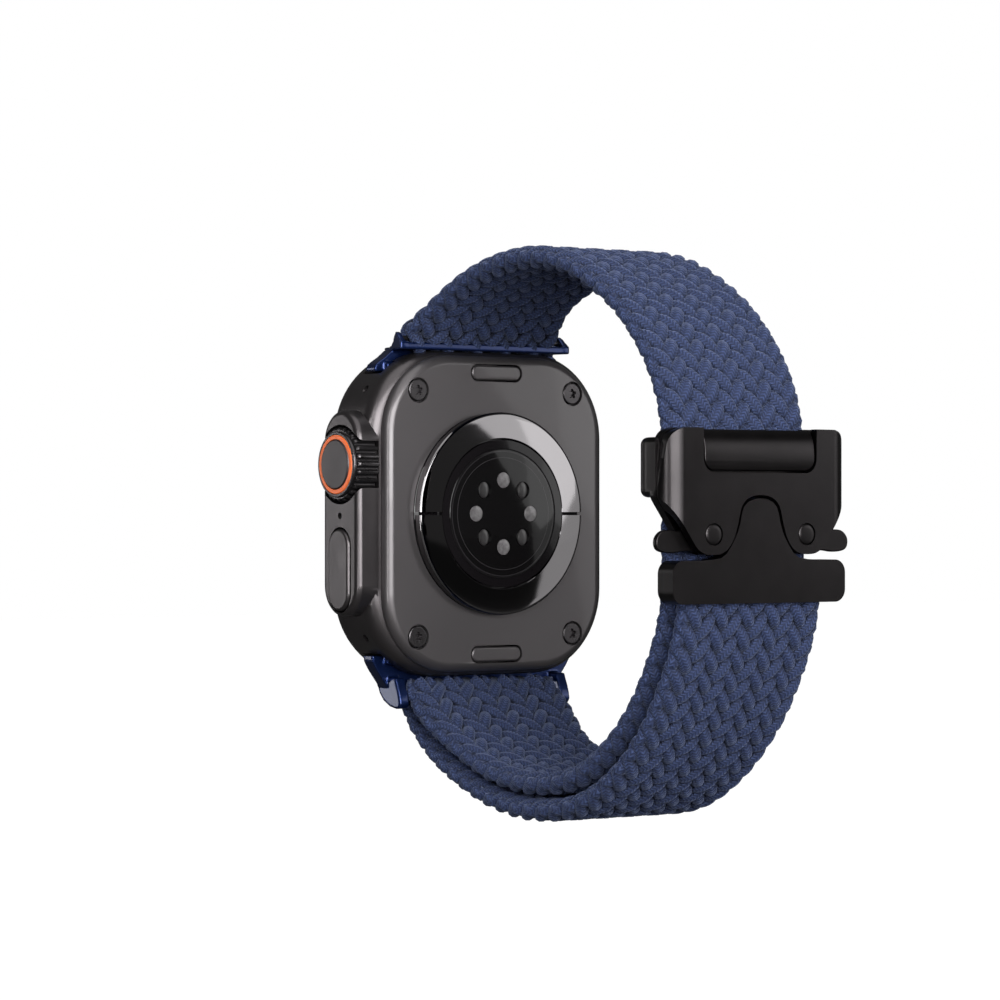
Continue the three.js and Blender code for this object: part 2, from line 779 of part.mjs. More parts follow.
// A bent strip seen from above: square ends at y = ends, and corners of this radius at y = face.
function bentOutline(halfX, ends, face, radius) {
  const turn = Math.sign(ends - face);
  const corner = (side) =>
    Array.from({ length: 9 }, (_, step) => {
      const angle = (step / 8) * (Math.PI / 2);
      const x = halfX - radius + radius * Math.cos(angle);
      return [side * x, face + turn * (radius - radius * Math.sin(angle))];
    });
  return polygon([[halfX, ends], ...corner(1), ...corner(-1).reverse(), [-halfX, ends]]);
}
// The strap runs through the frame, behind the base plate and in front of two thin rear bars.
const frameRing = plateZ(bentOutline(BUCKLE.halfX, BUCKLE.baseFront + 0.2, BUCKLE.rear, 4), 2.2, 11.0);
put(
  buckle,
  "buckle_frame",
  combine(
    [plateY(plateOutline, BUCKLE.baseFront, BUCKLE.base), frameRing],
    [
      plateZ(bentOutline(13.5, BUCKLE.base, BUCKLE.rear - 0.75, 1.5), -20, 20),
      box(-13.5, 13.5, BUCKLE.base, BUCKLE.rear + 1, 4.0, 9.2),
      box(-20, 20, BUCKLE.baseFront - 1, BUCKLE.baseFront, -20, 20),
      flapWindow(-70, BUCKLE.base + 0.2),
      ...rivetHoles(1.05, -70, -60),
    ],
  ),
  "blackMetal",
);
// The front plate is bent back round the frame's sides.
const rolledSheet = combine(
  [plateZ(bentOutline(BUCKLE.halfX, BUCKLE.base, BUCKLE.front, BUCKLE.roll), -7, 13)],
  [
    plateZ(bentOutline(15.1, BUCKLE.base + 1, BUCKLE.plateBack, 1.8), -8, 14),
    box(-20, 20, BUCKLE.baseFront - 0.15, -60, -20, 20),
  ],
);
put(
  buckle,
  "front_plate",
  combine(
    [overlap(plateY(plateOutline, BUCKLE.front - 1, BUCKLE.base), rolledSheet)],
    [
      flapWindow(-70, -60),
      ...rivetHoles(1.05, -70, -60),
      ...rivetHoles(RIVET.radius + 0.15, -70, BUCKLE.front + 0.45),
    ],
  ),
  "blackMetal",
);
const SIDES = [
  ["left", -1],
  ["right", 1],
];
for (const [side, sign] of SIDES) {
  const rivet = turnedY(
    [
      [0, -68.75],
      [RIVET.radius - 0.3, -68.7],
      [RIVET.radius, -68.45],
      [RIVET.radius, -68.2],
      [0.85, -68.2],
      [0.85, -64.6],
      [0, -64.6],
    ],
    sign * RIVET.x,
    RIVET.z,
    18,
  );
  put(buckle, `rivet_${side}`, rivet, "blackMetal");
}

// ---------- release levers and their springs ----------
function releaseLever(sign) {
  // From the paddle outside the plates, along the underside, round the hook and back along the top.
  const outline = [
    [16.9, -3.1],
    [17.15, -3.9],
    [16.9, -4.75],
    [16.1, -5.2],
    [14.4, -5.35],
    [12.6, -5.15],
    [10.6, -5.15],
    [8.8, -5.3],
    [6.9, -4.7],
    [5.9, -3.4],
    [5.7, -2.0],
    [5.0, -0.2],
    [4.5, 1.0],
    [4.6, 2.2],
    [5.6, 3.1],
    [6.8, 2.6],
    [7.6, 1.0],
    [9.0, -0.4],
    [10.7, -1.5],
    [13, -2.3],
    [14.9, -2.2],
    [16.1, -2.4],
  ].map(([x, z]) => [sign * x, z]);
  const hole = rodY(1.1, -70, -60, sign * RIVET.x, RIVET.z, 16);
  return combine([plateY(curvedOutline(outline, 66), LEVER.front, LEVER.back)], [hole]);
}
for (const [side, sign] of SIDES) {
  put(buckle, `release_lever_${side}`, releaseLever(sign), "blackMetal");
  const leaf = plateY(
    polygon(
      [
        [9.2, 3.2],
        [12.4, 3.0],
        [13.9, 1.8],
        [14.2, 2.2],
        [12.6, 3.5],
        [9.2, 3.7],
      ].map(([x, z]) => [sign * x, z]),
    ),
    LEVER.front + 0.1,
    LEVER.back - 0.1,
  );
  put(buckle, `lever_spring_${side}`, leaf, "spring");
}

// ---------- cam flap that grips the strap, and its pin ----------
const flapProfile = polygon([
  [-68.2, FLAP.bottom],
  [-67.2, FLAP.bottom],
  [-67.0, 7.4],
  [-66.4, 8.2],
  [-65.3, 8.7],
  [-64.5, 9.5],
  [-64.75, 10.5],
  [-65.6, 11.2],
  [-66.5, 11.55],
  [-67.3, 11.45],
  [-67.9, 10.7],
  [-68.25, 9.7],
  [-68.4, 8.6],
  [-68.4, 7.0],
]);
// Seen from the front, the flap's lower corners are rounded.
const flapFace = roundedRect(FLAP.halfX, 5, FLAP.cornerRadius, 0, FLAP.bottom + 5);
put(
  buckle,
  "cam_flap",
  combine(
    [overlap(plateX(flapProfile, -FLAP.halfX, FLAP.halfX), plateY(flapFace, -70, -60))],
    [rodX(0.8, -20, 20, FLAP.pivotY, FLAP.pivotZ, 16)],
  ),
  "blackMetal",
);
put(buckle, "flap_pin", rodX(0.55, -14.2, 14.2, FLAP.pivotY, FLAP.pivotZ, 14), "darkSteel");

// ---------- tongue at the tail's end ----------
const STEM_RIGHT = [
  [10.5, TONGUE.top],
  [8.5, -6.3],
  [6.9, -6.05],
  [5.9, -5.4],
  [5.0, -4.2],
  [4.2, -2.5],
  [3.25, 0.2],
  [3.05, 1.1],
  [2.5, 1.7],
  [1.6, 2.0],
  [0, 2.1],
];
function tongue() {
  const stem = polygon(mirrored([[10.5, TONGUE.top - 1.5], ...STEM_RIGHT]));
  const barMiddle = (TONGUE.top + TONGUE.bottom) / 2;
  const barHalf = (TONGUE.top - TONGUE.bottom) / 2;
  return combine(
    [
      plateY(roundedRect(TONGUE.halfX, barHalf, 1.8, 0, barMiddle), TONGUE.front, TONGUE.back),
      plateY(stem, TONGUE.front, TONGUE.stemBack),
    ],
    [
      box(-13.4, 13.4, -67.3, -60, -14, -8.4),
      rodX(TONGUE_BAR.radius + 0.05, -15, 15, TONGUE_BAR.y, TONGUE_BAR.z, 14),
    ],
  );
}
put(tail, "tongue", tongue(), "blackMetal");
put(tail, "tongue_bar", rodX(TONGUE_BAR.radius, -14.9, 14.9, TONGUE_BAR.y, TONGUE_BAR.z, 14), "darkSteel");

// ---------- whole assembly, moved so that the origin is under its middle ----------
const assembly = new THREE.Group();
assembly.add(tracker, band, buckle, tail);
const bounds = new THREE.Box3().setFromObject(assembly);
const middle = bounds.getCenter(new THREE.Vector3());
for (const mesh of [tracker, band, buckle, tail].flatMap((group) => group.children)) {
  mesh.geometry.translate(-middle.x, -middle.y, -bounds.min.z);
}
export default assembly;
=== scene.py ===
import math

import bmesh
import bpy
from mathutils import Matrix, Quaternion, Vector


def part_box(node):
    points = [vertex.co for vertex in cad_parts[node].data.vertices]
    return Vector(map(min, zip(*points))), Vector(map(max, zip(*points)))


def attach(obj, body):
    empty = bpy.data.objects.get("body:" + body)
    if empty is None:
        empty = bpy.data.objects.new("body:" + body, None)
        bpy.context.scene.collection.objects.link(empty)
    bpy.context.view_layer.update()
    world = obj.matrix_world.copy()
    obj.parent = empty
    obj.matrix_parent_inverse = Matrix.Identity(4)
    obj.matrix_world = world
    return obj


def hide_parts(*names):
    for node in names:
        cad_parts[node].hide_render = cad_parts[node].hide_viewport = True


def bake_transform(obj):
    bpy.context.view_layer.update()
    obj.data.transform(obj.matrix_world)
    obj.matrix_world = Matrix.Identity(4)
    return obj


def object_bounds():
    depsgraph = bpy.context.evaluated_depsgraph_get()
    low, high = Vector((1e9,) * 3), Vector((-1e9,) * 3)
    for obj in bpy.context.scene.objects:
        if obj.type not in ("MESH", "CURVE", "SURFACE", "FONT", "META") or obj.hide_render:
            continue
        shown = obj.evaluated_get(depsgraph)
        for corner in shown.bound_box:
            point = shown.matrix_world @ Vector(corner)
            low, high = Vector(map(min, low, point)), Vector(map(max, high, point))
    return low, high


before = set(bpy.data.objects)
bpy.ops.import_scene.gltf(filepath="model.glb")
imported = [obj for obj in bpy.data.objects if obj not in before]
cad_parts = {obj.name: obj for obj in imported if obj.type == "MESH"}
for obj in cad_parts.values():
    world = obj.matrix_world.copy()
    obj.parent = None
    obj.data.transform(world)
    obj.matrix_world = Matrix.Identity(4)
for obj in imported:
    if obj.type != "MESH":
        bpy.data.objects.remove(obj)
cad_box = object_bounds()

# ------------------------------------------------------------------ camera
# A long studio lens looks at the back of the tracker and the front of the buckle, from the
# crown's side and level with the middle of the case.
MM = 0.001
glass_low, glass_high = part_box("display_glass")
CASE_MIDDLE = Vector((
    (glass_low.x + glass_high.x) / 2,
    glass_high.y - 6.4 * MM,
    (glass_low.z + glass_high.z) / 2,
))


def at(x, y, z):
    """A place in millimetres from the middle of the case, as a point in the frame."""
    return CASE_MIDDLE + Vector((x, y, z)) * MM


bpy.ops.object.select_all(action="DESELECT")
bpy.ops.object.camera_add(location=at(-319.0, -448.0, 0.0))
camera = bpy.context.object
camera.name = "studio_camera"
camera.rotation_euler = (math.radians(90), 0, -math.atan2(0.5864, 0.8100))
camera.data.lens = 129.6
camera.data.sensor_width = 36
camera.data.shift_y = 0.0136
camera.data.clip_end = 10
bpy.context.scene.camera = camera
bpy.context.scene.view_settings.view_transform = "Standard"

# ------------------------------------------------------------------ floor and light
# A sweep of paper and an even surround, both white to the camera and dim to everything else.
# The paper lies low enough for the tail to swing open above it. Soft boxes light the object,
# and two small cards are mirrored in its polished back.
FLOOR_DROP = 0.07
bpy.ops.object.select_all(action="DESELECT")
bpy.ops.mesh.primitive_plane_add(size=6, location=(0, 0, cad_box[0][2] - FLOOR_DROP))
floor = bpy.context.object
floor.name = "paper_floor"
paper = bpy.data.materials.new("pale_paper")
paper.use_nodes = True
paper_shader = paper.node_tree.nodes["Principled BSDF"]
paper_shader.inputs["Base Color"].default_value = (0.07, 0.07, 0.07, 1)
paper_shader.inputs["Roughness"].default_value = 0.9
paper_shader.inputs["Emission Color"].default_value = (1, 1, 1, 1)
paper_view = paper.node_tree.nodes.new("ShaderNodeLightPath")
paper_glow = paper.node_tree.nodes.new("ShaderNodeMapRange")
paper_glow.inputs["To Max"].default_value = 1.0
paper.node_tree.links.new(paper_view.outputs["Is Camera Ray"], paper_glow.inputs["Value"])
paper.node_tree.links.new(paper_glow.outputs["Result"], paper_shader.inputs["Emission Strength"])
floor.data.materials.append(paper)

surround = bpy.data.worlds.new("studio_surround")
surround.use_nodes = True
backdrop = surround.node_tree.nodes["Background"]
backdrop.inputs["Color"].default_value = (1, 1, 1, 1)
seen = surround.node_tree.nodes.new("ShaderNodeLightPath")
strength = surround.node_tree.nodes.new("ShaderNodeMapRange")
strength.inputs["To Min"].default_value = 0.09
strength.inputs["To Max"].default_value = 1.0
surround.node_tree.links.new(seen.outputs["Is Camera Ray"], strength.inputs["Value"])
surround.node_tree.links.new(strength.outputs["Result"], backdrop.inputs["Strength"])
bpy.context.scene.world = surround

bpy.ops.object.light_add(type="SUN", location=at(-300, -500, 900))
daylight = bpy.context.object
daylight.name = "broad_top_light"
daylight.rotation_euler = (math.radians(28), math.radians(-22), 0)
daylight.data.energy = 0.25
daylight.data.angle = math.radians(60)


def soft_box(name, place, towards, width, height, watts, roll=0):
    bpy.ops.object.select_all(action="DESELECT")
    bpy.ops.object.light_add(type="AREA", location=place)
    lamp = bpy.context.object
    lamp.name = name
    facing = (towards - place).to_track_quat("-Z", "Y")
    lamp.rotation_euler = (facing @ Quaternion((0, 0, 1), math.radians(roll))).to_euler()
    lamp.data.shape = "RECTANGLE"
    lamp.data.size, lamp.data.size_y = width, height
    lamp.data.energy = watts


soft_box("overhead_box", at(-60, -160, 420), at(0, -30, 0), 0.5, 0.5, 1.1)
soft_box("front_box", at(-200, -560, 150), at(0, -30, 0), 0.5, 0.3, 5.0)
soft_box("low_box", at(-100, -540, 5), at(0, -30, -20), 0.6, 0.08, 1.3)
soft_box("left_strip", at(-433, -250, 30), at(0, -30, 0), 0.05, 0.5, 1.2)
soft_box("rear_strip", at(-290, 405, 30), at(0, 0, 0), 0.03, 0.3, 0.22)
soft_box("upper_card", at(300, -348, 92), at(0, 0, 0), 0.14, 0.16, 0.16, 36)
soft_box("lower_card", at(204, -198, -4), at(0, 0, 0), 0.072, 0.12, 0.032, 7)

# ------------------------------------------------------------------ tracker case
# The case is milled from one block of dark titanium and blasted to a fine satin. Its crown
# side carries a raised guard, with a pocket for the crown and another for the side button.
HALF_X, HALF_Z, CORNER = 22.0, 24.5, 13.0
CASE_BACK, CASE_FRONT = -4.9, 6.3
BUTTON_Z, CROWN_Z, CROWN_RADIUS = -8.4, 7.3, 5.6
RAIL_Z, LATCH_Z = 21.95, 21.25
SCREW_X, SCREW_Z = 14.35, 18.4


def settle(piece, name):
    """Names a new piece and moves its place into its mesh, so its object sits at the origin."""
    piece.name = piece.data.name = name
    bpy.ops.object.transform_apply(location=True, rotation=True, scale=True)
    return piece


def block(name, low, high):
    """A box between two corners, in millimetres from the middle of the case."""
    low, high = Vector(low), Vector(high)
    bpy.ops.object.select_all(action="DESELECT")
    bpy.ops.mesh.primitive_cube_add(size=MM, location=at(*((low + high) / 2)), scale=high - low)
    return settle(bpy.context.object, name)


def drum(name, axis, radius, low, high, across, sides=64):
    """A cylinder along X or Y from low to high, with its middle at the other two numbers."""
    middle, turn = (low + high) / 2, {"X": (0, math.pi / 2, 0), "Y": (math.pi / 2, 0, 0)}[axis]
    place = at(middle, *across) if axis == "X" else at(across[0], middle, across[1])
    bpy.ops.object.select_all(action="DESELECT")
    bpy.ops.mesh.primitive_cylinder_add(
        vertices=sides, radius=radius * MM, depth=(high - low) * MM, location=place, rotation=turn)
    return settle(bpy.context.object, name)


def choose_edges(piece, test):
    """Selects the edges whose middle (in millimetres from the case's) and direction pass."""
    bpy.ops.mesh.select_mode(type="EDGE")
    bpy.ops.mesh.select_all(action="DESELECT")
    shape = bmesh.from_edit_mesh(piece.data)
    for edge in shape.edges:
        start, end = (corner.co for corner in edge.verts)
        middle = ((start + end) / 2 - CASE_MIDDLE) / MM
        edge.select_set(test(middle, (end - start).normalized()))
    bmesh.update_edit_mesh(piece.data)


def round_edges(piece, test, width, steps, profile=0.5):
    """Bevels the chosen edges of a piece by a width in millimetres."""
    bpy.context.view_layer.objects.active = piece
    bpy.ops.object.mode_set(mode="EDIT")
    choose_edges(piece, test)
    bpy.ops.mesh.bevel(
        offset=width * MM, offset_type="OFFSET", segments=steps, profile=profile, affect="EDGES")
    bpy.ops.object.mode_set(mode="OBJECT")


def along(letter):
    """A test for edges that run along one axis."""
    index = "XYZ".index(letter)
    return lambda middle, way: abs(way[index]) > 0.99


def pick(piece):
    """Makes a piece the only selected one, and the active one."""
    bpy.ops.object.select_all(action="DESELECT")
    piece.select_set(True)
    bpy.context.view_layer.objects.active = piece


def face_outwards():
    """Turns every face of the mesh that is being edited outwards, and ends the editing."""
    bpy.ops.mesh.select_all(action="SELECT")
    bpy.ops.mesh.normals_make_consistent(inside=False)
    bpy.ops.object.mode_set(mode="OBJECT")


def finish_modifier(piece, modifier):
    bpy.context.view_layer.objects.active = piece
    bpy.ops.object.modifier_apply(modifier=modifier.name)


def combine(piece, others, operation):
    """Adds the other pieces to this one or cuts them from it, and removes them."""
    for other in others:
        modifier = piece.modifiers.new(operation.lower(), "BOOLEAN")
        modifier.operation, modifier.object, modifier.solver = operation, other, "EXACT"
        finish_modifier(piece, modifier)
        bpy.data.objects.remove(other)
    return piece


def soften(piece, width, steps=3, limit=32):
    """Breaks the sharp edges of a finished shape and smooths its shading."""
    modifier = piece.modifiers.new("broken_edges", "BEVEL")
    modifier.width, modifier.segments = width * MM, steps
    modifier.limit_method, modifier.angle_limit = "ANGLE", math.radians(limit)
    finish_modifier(piece, modifier)
    smooth(piece)
    return piece


def smooth(piece, limit=35):
    """Smooths the shading across soft edges and keeps broad flat faces flat."""
    pick(piece)
    bpy.ops.object.shade_smooth_by_angle(angle=math.radians(limit))
    modifier = piece.modifiers.new("flat_faces", "WEIGHTED_NORMAL")
    modifier.weight, modifier.keep_sharp = 100, True
    finish_modifier(piece, modifier)


def socket(group, name, kind, way, value=None):
    made = group.interface.new_socket(name=name, in_out=way, socket_type="NodeSocket" + kind)
    if value is not None:
        made.default_value = value


def preset(node, values):
    """Sets the constants on a node's sockets."""
    for key, value in values.items():
        node.inputs[key].default_value = value


def wire(tree, *pairs):
    for source, target in pairs:
        tree.links.new(source, target)


# Blasted or coated metal: a fine grain with slow, cloudy changes of tone and gloss.
satin = bpy.data.node_groups.new("satin_grain", "ShaderNodeTree")
socket(satin, "Grain Size", "Float", "INPUT", 9000.0)
socket(satin, "Cloud Size", "Float", "INPUT", 90.0)
socket(satin, "Tone", "Float", "OUTPUT")
socket(satin, "Gloss", "Float", "OUTPUT")
socket(satin, "Height", "Float", "OUTPUT")
inside = satin.nodes.new("NodeGroupInput")
outside = satin.nodes.new("NodeGroupOutput")
place = satin.nodes.new("ShaderNodeTexCoord")
grain = satin.nodes.new("ShaderNodeTexNoise")
cloud = satin.nodes.new("ShaderNodeTexNoise")
rubbed = satin.nodes.new("ShaderNodeTexNoise")
preset(grain, {"Detail": 3})
preset(cloud, {"Detail": 4})
preset(rubbed, {"Detail": 2, "Distortion": 0.6})
rubbed_size = satin.nodes.new("ShaderNodeMath")
rubbed_size.operation = "MULTIPLY"
rubbed_size.inputs[1].default_value = 3.1
wire(
    satin,
    (place.outputs["Object"], grain.inputs["Vector"]),
    (place.outputs["Object"], cloud.inputs["Vector"]),
    (place.outputs["Object"], rubbed.inputs["Vector"]),
    (inside.outputs["Grain Size"], grain.inputs["Scale"]),
    (inside.outputs["Cloud Size"], cloud.inputs["Scale"]),
    (inside.outputs["Cloud Size"], rubbed_size.inputs[0]),
    (rubbed_size.outputs[0], rubbed.inputs["Scale"]),
    (cloud.outputs["Fac"], outside.inputs["Tone"]),
    (rubbed.outputs["Fac"], outside.inputs["Gloss"]),
    (grain.outputs["Fac"], outside.inputs["Height"]),
)


def coated(name, dark, light, rough, metallic, bump=0.05, cloud_size=90.0, **constants):
    """A satin surface between two tones and two roughnesses, over the fine grain."""
    material = bpy.data.materials.new(name)
    material.use_nodes = True
    tree = material.node_tree
    shader = tree.nodes["Principled BSDF"]
    texture = tree.nodes.new("ShaderNodeGroup")
    texture.node_tree = satin
    texture.inputs["Cloud Size"].default_value = cloud_size
    tone = tree.nodes.new("ShaderNodeMix")
    tone.data_type = "RGBA"
    preset(tone, {"A": (*dark, 1), "B": (*light, 1)})
    gloss = tree.nodes.new("ShaderNodeMapRange")
    preset(gloss, {"To Min": rough[0], "To Max": rough[1]})
    relief = tree.nodes.new("ShaderNodeBump")
    preset(relief, {"Strength": bump, "Distance": 0.0001})
    wire(
        tree,
        (texture.outputs["Tone"], tone.inputs["Factor"]),
        (tone.outputs["Result"], shader.inputs["Base Color"]),
        (texture.outputs["Gloss"], gloss.inputs["Value"]),
        (gloss.outputs["Result"], shader.inputs["Roughness"]),
        (texture.outputs["Height"], relief.inputs["Height"]),
        (relief.outputs["Normal"], shader.inputs["Normal"]),
    )
    shader.inputs["Metallic"].default_value = metallic
    for key, value in constants.items():
        shader.inputs[key.replace("_", " ").title().replace("Ior", "IOR")].default_value = value
    return material


def dress(piece, material, body, slot, *nodes):
    """Gives a piece its finish, its moving body and the plain solids it stands for; the slot is not used.
    """
    piece.data.materials.clear()
    piece.data.materials.append(material)
    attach(piece, body)
    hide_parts(*nodes)


titanium = coated(
    "dark_titanium", (0.055, 0.050, 0.052), (0.085, 0.078, 0.080), (0.26, 0.36), 0.9, bump=0.04)


def rounded_slab(name, low, high, corner, steps=20):
    """A block whose edges along Y are rounded to the corner radius."""
    slab = block(name, low, high)
    round_edges(slab, along("Y"), corner, steps)
    return slab


case = rounded_slab("case", (-HALF_X, CASE_BACK, -HALF_Z), (HALF_X, CASE_FRONT, HALF_Z), CORNER)
# The back edge rolls over twice as far across the case as up and down, so it is rounded while
# the case is drawn out to twice its height.
drawn_out = (
    Matrix.Translation(CASE_MIDDLE) @ Matrix.Scale(2, 4, (0, 0, 1))
    @ Matrix.Translation(-CASE_MIDDLE))
case.data.transform(drawn_out)
round_edges(case, lambda middle, way: middle.y < CASE_BACK + 0.1, 2.6, 8, profile=0.55)
case.data.transform(drawn_out.inverted())
round_edges(case, lambda middle, way: middle.y > CASE_FRONT - 0.1, 2.9, 10, profile=0.6)
guard = block("guard", (-24.1, -4.8, -15.4), (-19.0, 4.8, 15.4))
round_edges(guard, along("X"), 4.75, 14)
round_edges(guard, lambda middle, way: middle.x < -24.0, 1.0, 5)
combine(case, [guard], "UNION")


def stadium(name, axis, half_long, half_short, low, high, middle_z, across=0.0, steps=10):
    """A block with half-round ends; its long way is Z on an X axis and X on a Y axis."""
    if axis == "X":
        low_corner = (low, across - half_short, middle_z - half_long)
        high_corner = (high, across + half_short, middle_z + half_long)
    else:
        low_corner = (across - half_long, low, middle_z - half_short)
        high_corner = (across + half_long, high, middle_z + half_short)
    shape = block(name, low_corner, high_corner)
    round_edges(shape, along(axis), half_short - 0.01, steps)
    return shape


pockets = [
    rounded_slab("cavity", (-19.3, -8, -20.0), (19.3, 4.3, 20.0), 9.5),
    rounded_slab("glass_seat", (-19.1, 4.3, -21.9), (19.1, 9, 21.9), 10.7),
    drum("crown_pocket", "X", CROWN_RADIUS + 0.35, -30, -20.35, (0, CROWN_Z)),
    drum("stem_hole", "X", 1.5, -22, -18, (0, CROWN_Z)),
    stadium("button_pocket", "X", 6.4, 3.0, -30, -22.2, BUTTON_Z),
    drum("button_hole", "X", 1.2, -23, -18, (0, BUTTON_Z), 24),
    drum("microphone", "X", 0.5, -26, -22.8, (0, -0.35), 24),
    stadium("action_pocket", "X", 5.5, 2.4, 20.9, 30, 5.5),
    drum("action_hole", "X", 1.2, 18, 22, (0, 5.5), 24),
]
pockets += [stadium("speaker_slot", "X", 1.1, 0.45, 21, 24, z) for z in (-5, -8, -11)]
for side in (-1, 1):
    pockets.append(block("slot_neck", (-25, -0.8, side * 24.5 - 1.7), (25, 2.4, side * 24.5 + 1.7)))
    pockets.append(block("slot_head", (-25, -1.6, side * RAIL_Z - 0.95), (25, 3.2, side * RAIL_Z + 0.95)))
    pockets.append(stadium("latch_well", "Y", 4.85, 1.4, -9, -3.8, side * LATCH_Z))
    pockets.append(drum("case_hole", "X", 0.55, -23, -18.2, (-0.6, side * 18.6), 24))
combine(case, pockets, "DIFFERENCE")
soften(case, 0.12, 2, 40)
dress(case, titanium, "tracker", "titanium", "case_body")

# ------------------------------------------------------------------ back cover
# A plate of the same dark metal, polished under a clear hard coat, closes the back. It rolls
# over softly at its rim and leaves a thin shadow line where it meets the case.
polished_back = coated(
    "polished_back", (0.070, 0.065, 0.067), (0.090, 0.083, 0.086), (0.36, 0.44), 0.75,
    bump=0.01, cloud_size=40.0, coat_weight=0.3, coat_roughness=0.04)
cover = rounded_slab("cover", (-20.0, -6.5, -23.8), (20.0, -4.95, 23.8), 11.8, 24)
round_edges(cover, lambda middle, way: middle.y < -6.4, 1.45, 12, profile=0.5)
openings = [drum("dome_opening", "Y", 15.3, -9, -3, (0, 0), 128)]
for side_z in (-1, 1):
    openings.append(stadium("latch_opening", "Y", 4.8, 1.35, -9, -3, side_z * LATCH_Z))
    for side_x in (-1, 1):
        openings.append(drum("screw_recess", "Y", 1.9, -9, -5.6, (side_x * SCREW_X, side_z * SCREW_Z), 40))
        openings.append(drum("screw_hole", "Y", 0.9, -9, -3, (side_x * SCREW_X, side_z * SCREW_Z), 24))
combine(cover, openings, "DIFFERENCE")
soften(cover, 0.09, 2, 40)
dress(cover, polished_back, "tracker", "titanium", "back_cover")

# ------------------------------------------------------------------ cover screws
# Four small steel screws with a slightly domed head and a five-pointed star recess.
dark_steel = coated("dark_steel", (0.045, 0.042, 0.044), (0.080, 0.075, 0.078), (0.22, 0.34), 0.95)
screw = drum("screw", "Y", 1.65, -6.45, -5.75, (0, 0), 40)
round_edges(screw, lambda middle, way: middle.y < -6.4 and middle.xz.length > 0.5, 0.22, 4)
shank = drum("shank", "Y", 0.7, -5.8, -2.9, (0, 0), 24)
combine(screw, [shank], "UNION")
star = [drum("star_core", "Y", 0.5, -7, -6.0, (0, 0), 20)]
for point in range(5):
    angle = math.radians(90 + 72 * point)
    star.append(drum(
        "star_point", "Y", 0.26, -7, -6.0, (0.52 * math.cos(angle), 0.52 * math.sin(angle)), 16))
combine(screw, star, "DIFFERENCE")
smooth(screw)
for corner, side_x, side_z in (
        ("upper_left", -1, 1), ("upper_right", 1, 1), ("lower_left", -1, -1), ("lower_right", 1, -1)):
    copied = bpy.data.objects.new(f"back_screw_{corner}", screw.data.copy())
    bpy.context.scene.collection.objects.link(copied)
    copied.data.transform(Matrix.Translation(Vector((side_x * SCREW_X, 0, side_z * SCREW_Z)) * MM))
    dress(copied, dark_steel, "tracker", "dark_steel", f"cover_screw_{corner}")
bpy.data.objects.remove(screw)

# ------------------------------------------------------------------ band release buttons
# Two oblong metal keys sit flush in the back cover, and free the lugs when they are pressed.
for end, side in (("upper", 1), ("lower", -1)):
    key = stadium(f"latch_key_{end}", "Y", 4.55, 1.1, -6.55, -4.6, side * LATCH_Z)
    round_edges(key, lambda middle, way: middle.y < -6.5, 0.3, 4)
    foot = stadium("foot", "Y", 3.3, 0.4, -4.7, -3.35, side * 21.8)
    combine(key, [foot], "UNION")
    smooth(key)
    dress(key, polished_back, f"release_button_{end}", "titanium", f"release_button_{end}")

# ------------------------------------------------------------------ sensor dome
# A black glass dome carries two polished electrode halves over its shoulder, and a round
# window in the middle with four clear lenses and four dark light sensors under it.
black_glass = coated(
    "black_glass", (0.004, 0.0035, 0.004), (0.007, 0.006, 0.007), (0.04, 0.07), 0.0,
    bump=0.0, cloud_size=30.0, specular_ior_level=0.12, coat_weight=0.15, coat_roughness=0.02)
mirror_ring = coated(
    "mirror_ring", (0.135, 0.130, 0.133), (0.170, 0.163, 0.167), (0.03, 0.06), 1.0,
    bump=0.004, cloud_size=60.0)


def turned(name, profile, centre=(0.0, 0.0), sides=128, closed=False):
    """A body of rings about Y. The profile lists (radius, y); it is closed, or ends on the axis."""
    first_radius, first_y = max(profile[0][0], 1e-3), profile[0][1]
    bpy.ops.object.select_all(action="DESELECT")
    bpy.ops.mesh.primitive_circle_add(
        vertices=sides, radius=first_radius * MM, location=at(centre[0], first_y, centre[1]),
        rotation=(math.pi / 2, 0, 0))
    body = settle(bpy.context.object, name)
    bpy.ops.object.mode_set(mode="EDIT")
    radius, height = first_radius, first_y
    for next_radius, next_y in profile[1:] + ([profile[0]] if closed else []):
        bpy.ops.mesh.extrude_region_move(
            TRANSFORM_OT_translate={"value": (0, (next_y - height) * MM, 0)})
        factor = max(next_radius, 1e-3) / radius
        bpy.ops.transform.resize(
            value=(factor, 1, factor), center_override=at(centre[0], next_y, centre[1]))
        radius, height = max(next_radius, 1e-3), next_y
    bpy.ops.mesh.select_all(action="SELECT")
    bpy.ops.mesh.remove_doubles(threshold=2e-6)
    face_outwards()
    return body


dome = turned("dome", [
    (0, -7.3), (9.85, -7.3), (9.85, -8.11), (11.1, -8.09), (11.12, -7.25), (14.3, -6.9),
    (15.1, -6.4), (15.1, -5.9), (13.6, -5.3), (13.6, -4.4), (0, -4.4)])
smooth(dome)
dress(dome, black_glass, "tracker", "black_glass", "sensor_dome")

ELECTRODE = [
    (11.15, -7.55), (11.15, -8.10), (11.2, -8.13), (12.2, -8.10), (13.2, -8.055), (14.0, -8.015),
    (14.6, -7.98), (14.8, -7.95), (14.95, -7.88), (15.05, -7.74), (15.06, -7.6), (15.06, -6.75),
    (14.45, -7.15)]
for end, side in (("upper", 1), ("lower", -1)):
    half = turned(f"electrode_half_{end}", ELECTRODE, closed=True)
    combine(half, [block("gap", (-20, -10, -20 * side - 20), (20, 0, -20 * side + 20))], "DIFFERENCE")
    half.data.transform(Matrix.Translation((0, 0, 0.24 * side * MM)))
    smooth(half, 30)
    dress(half, mirror_ring, "tracker", "sensor_ring", f"electrode_{end}")

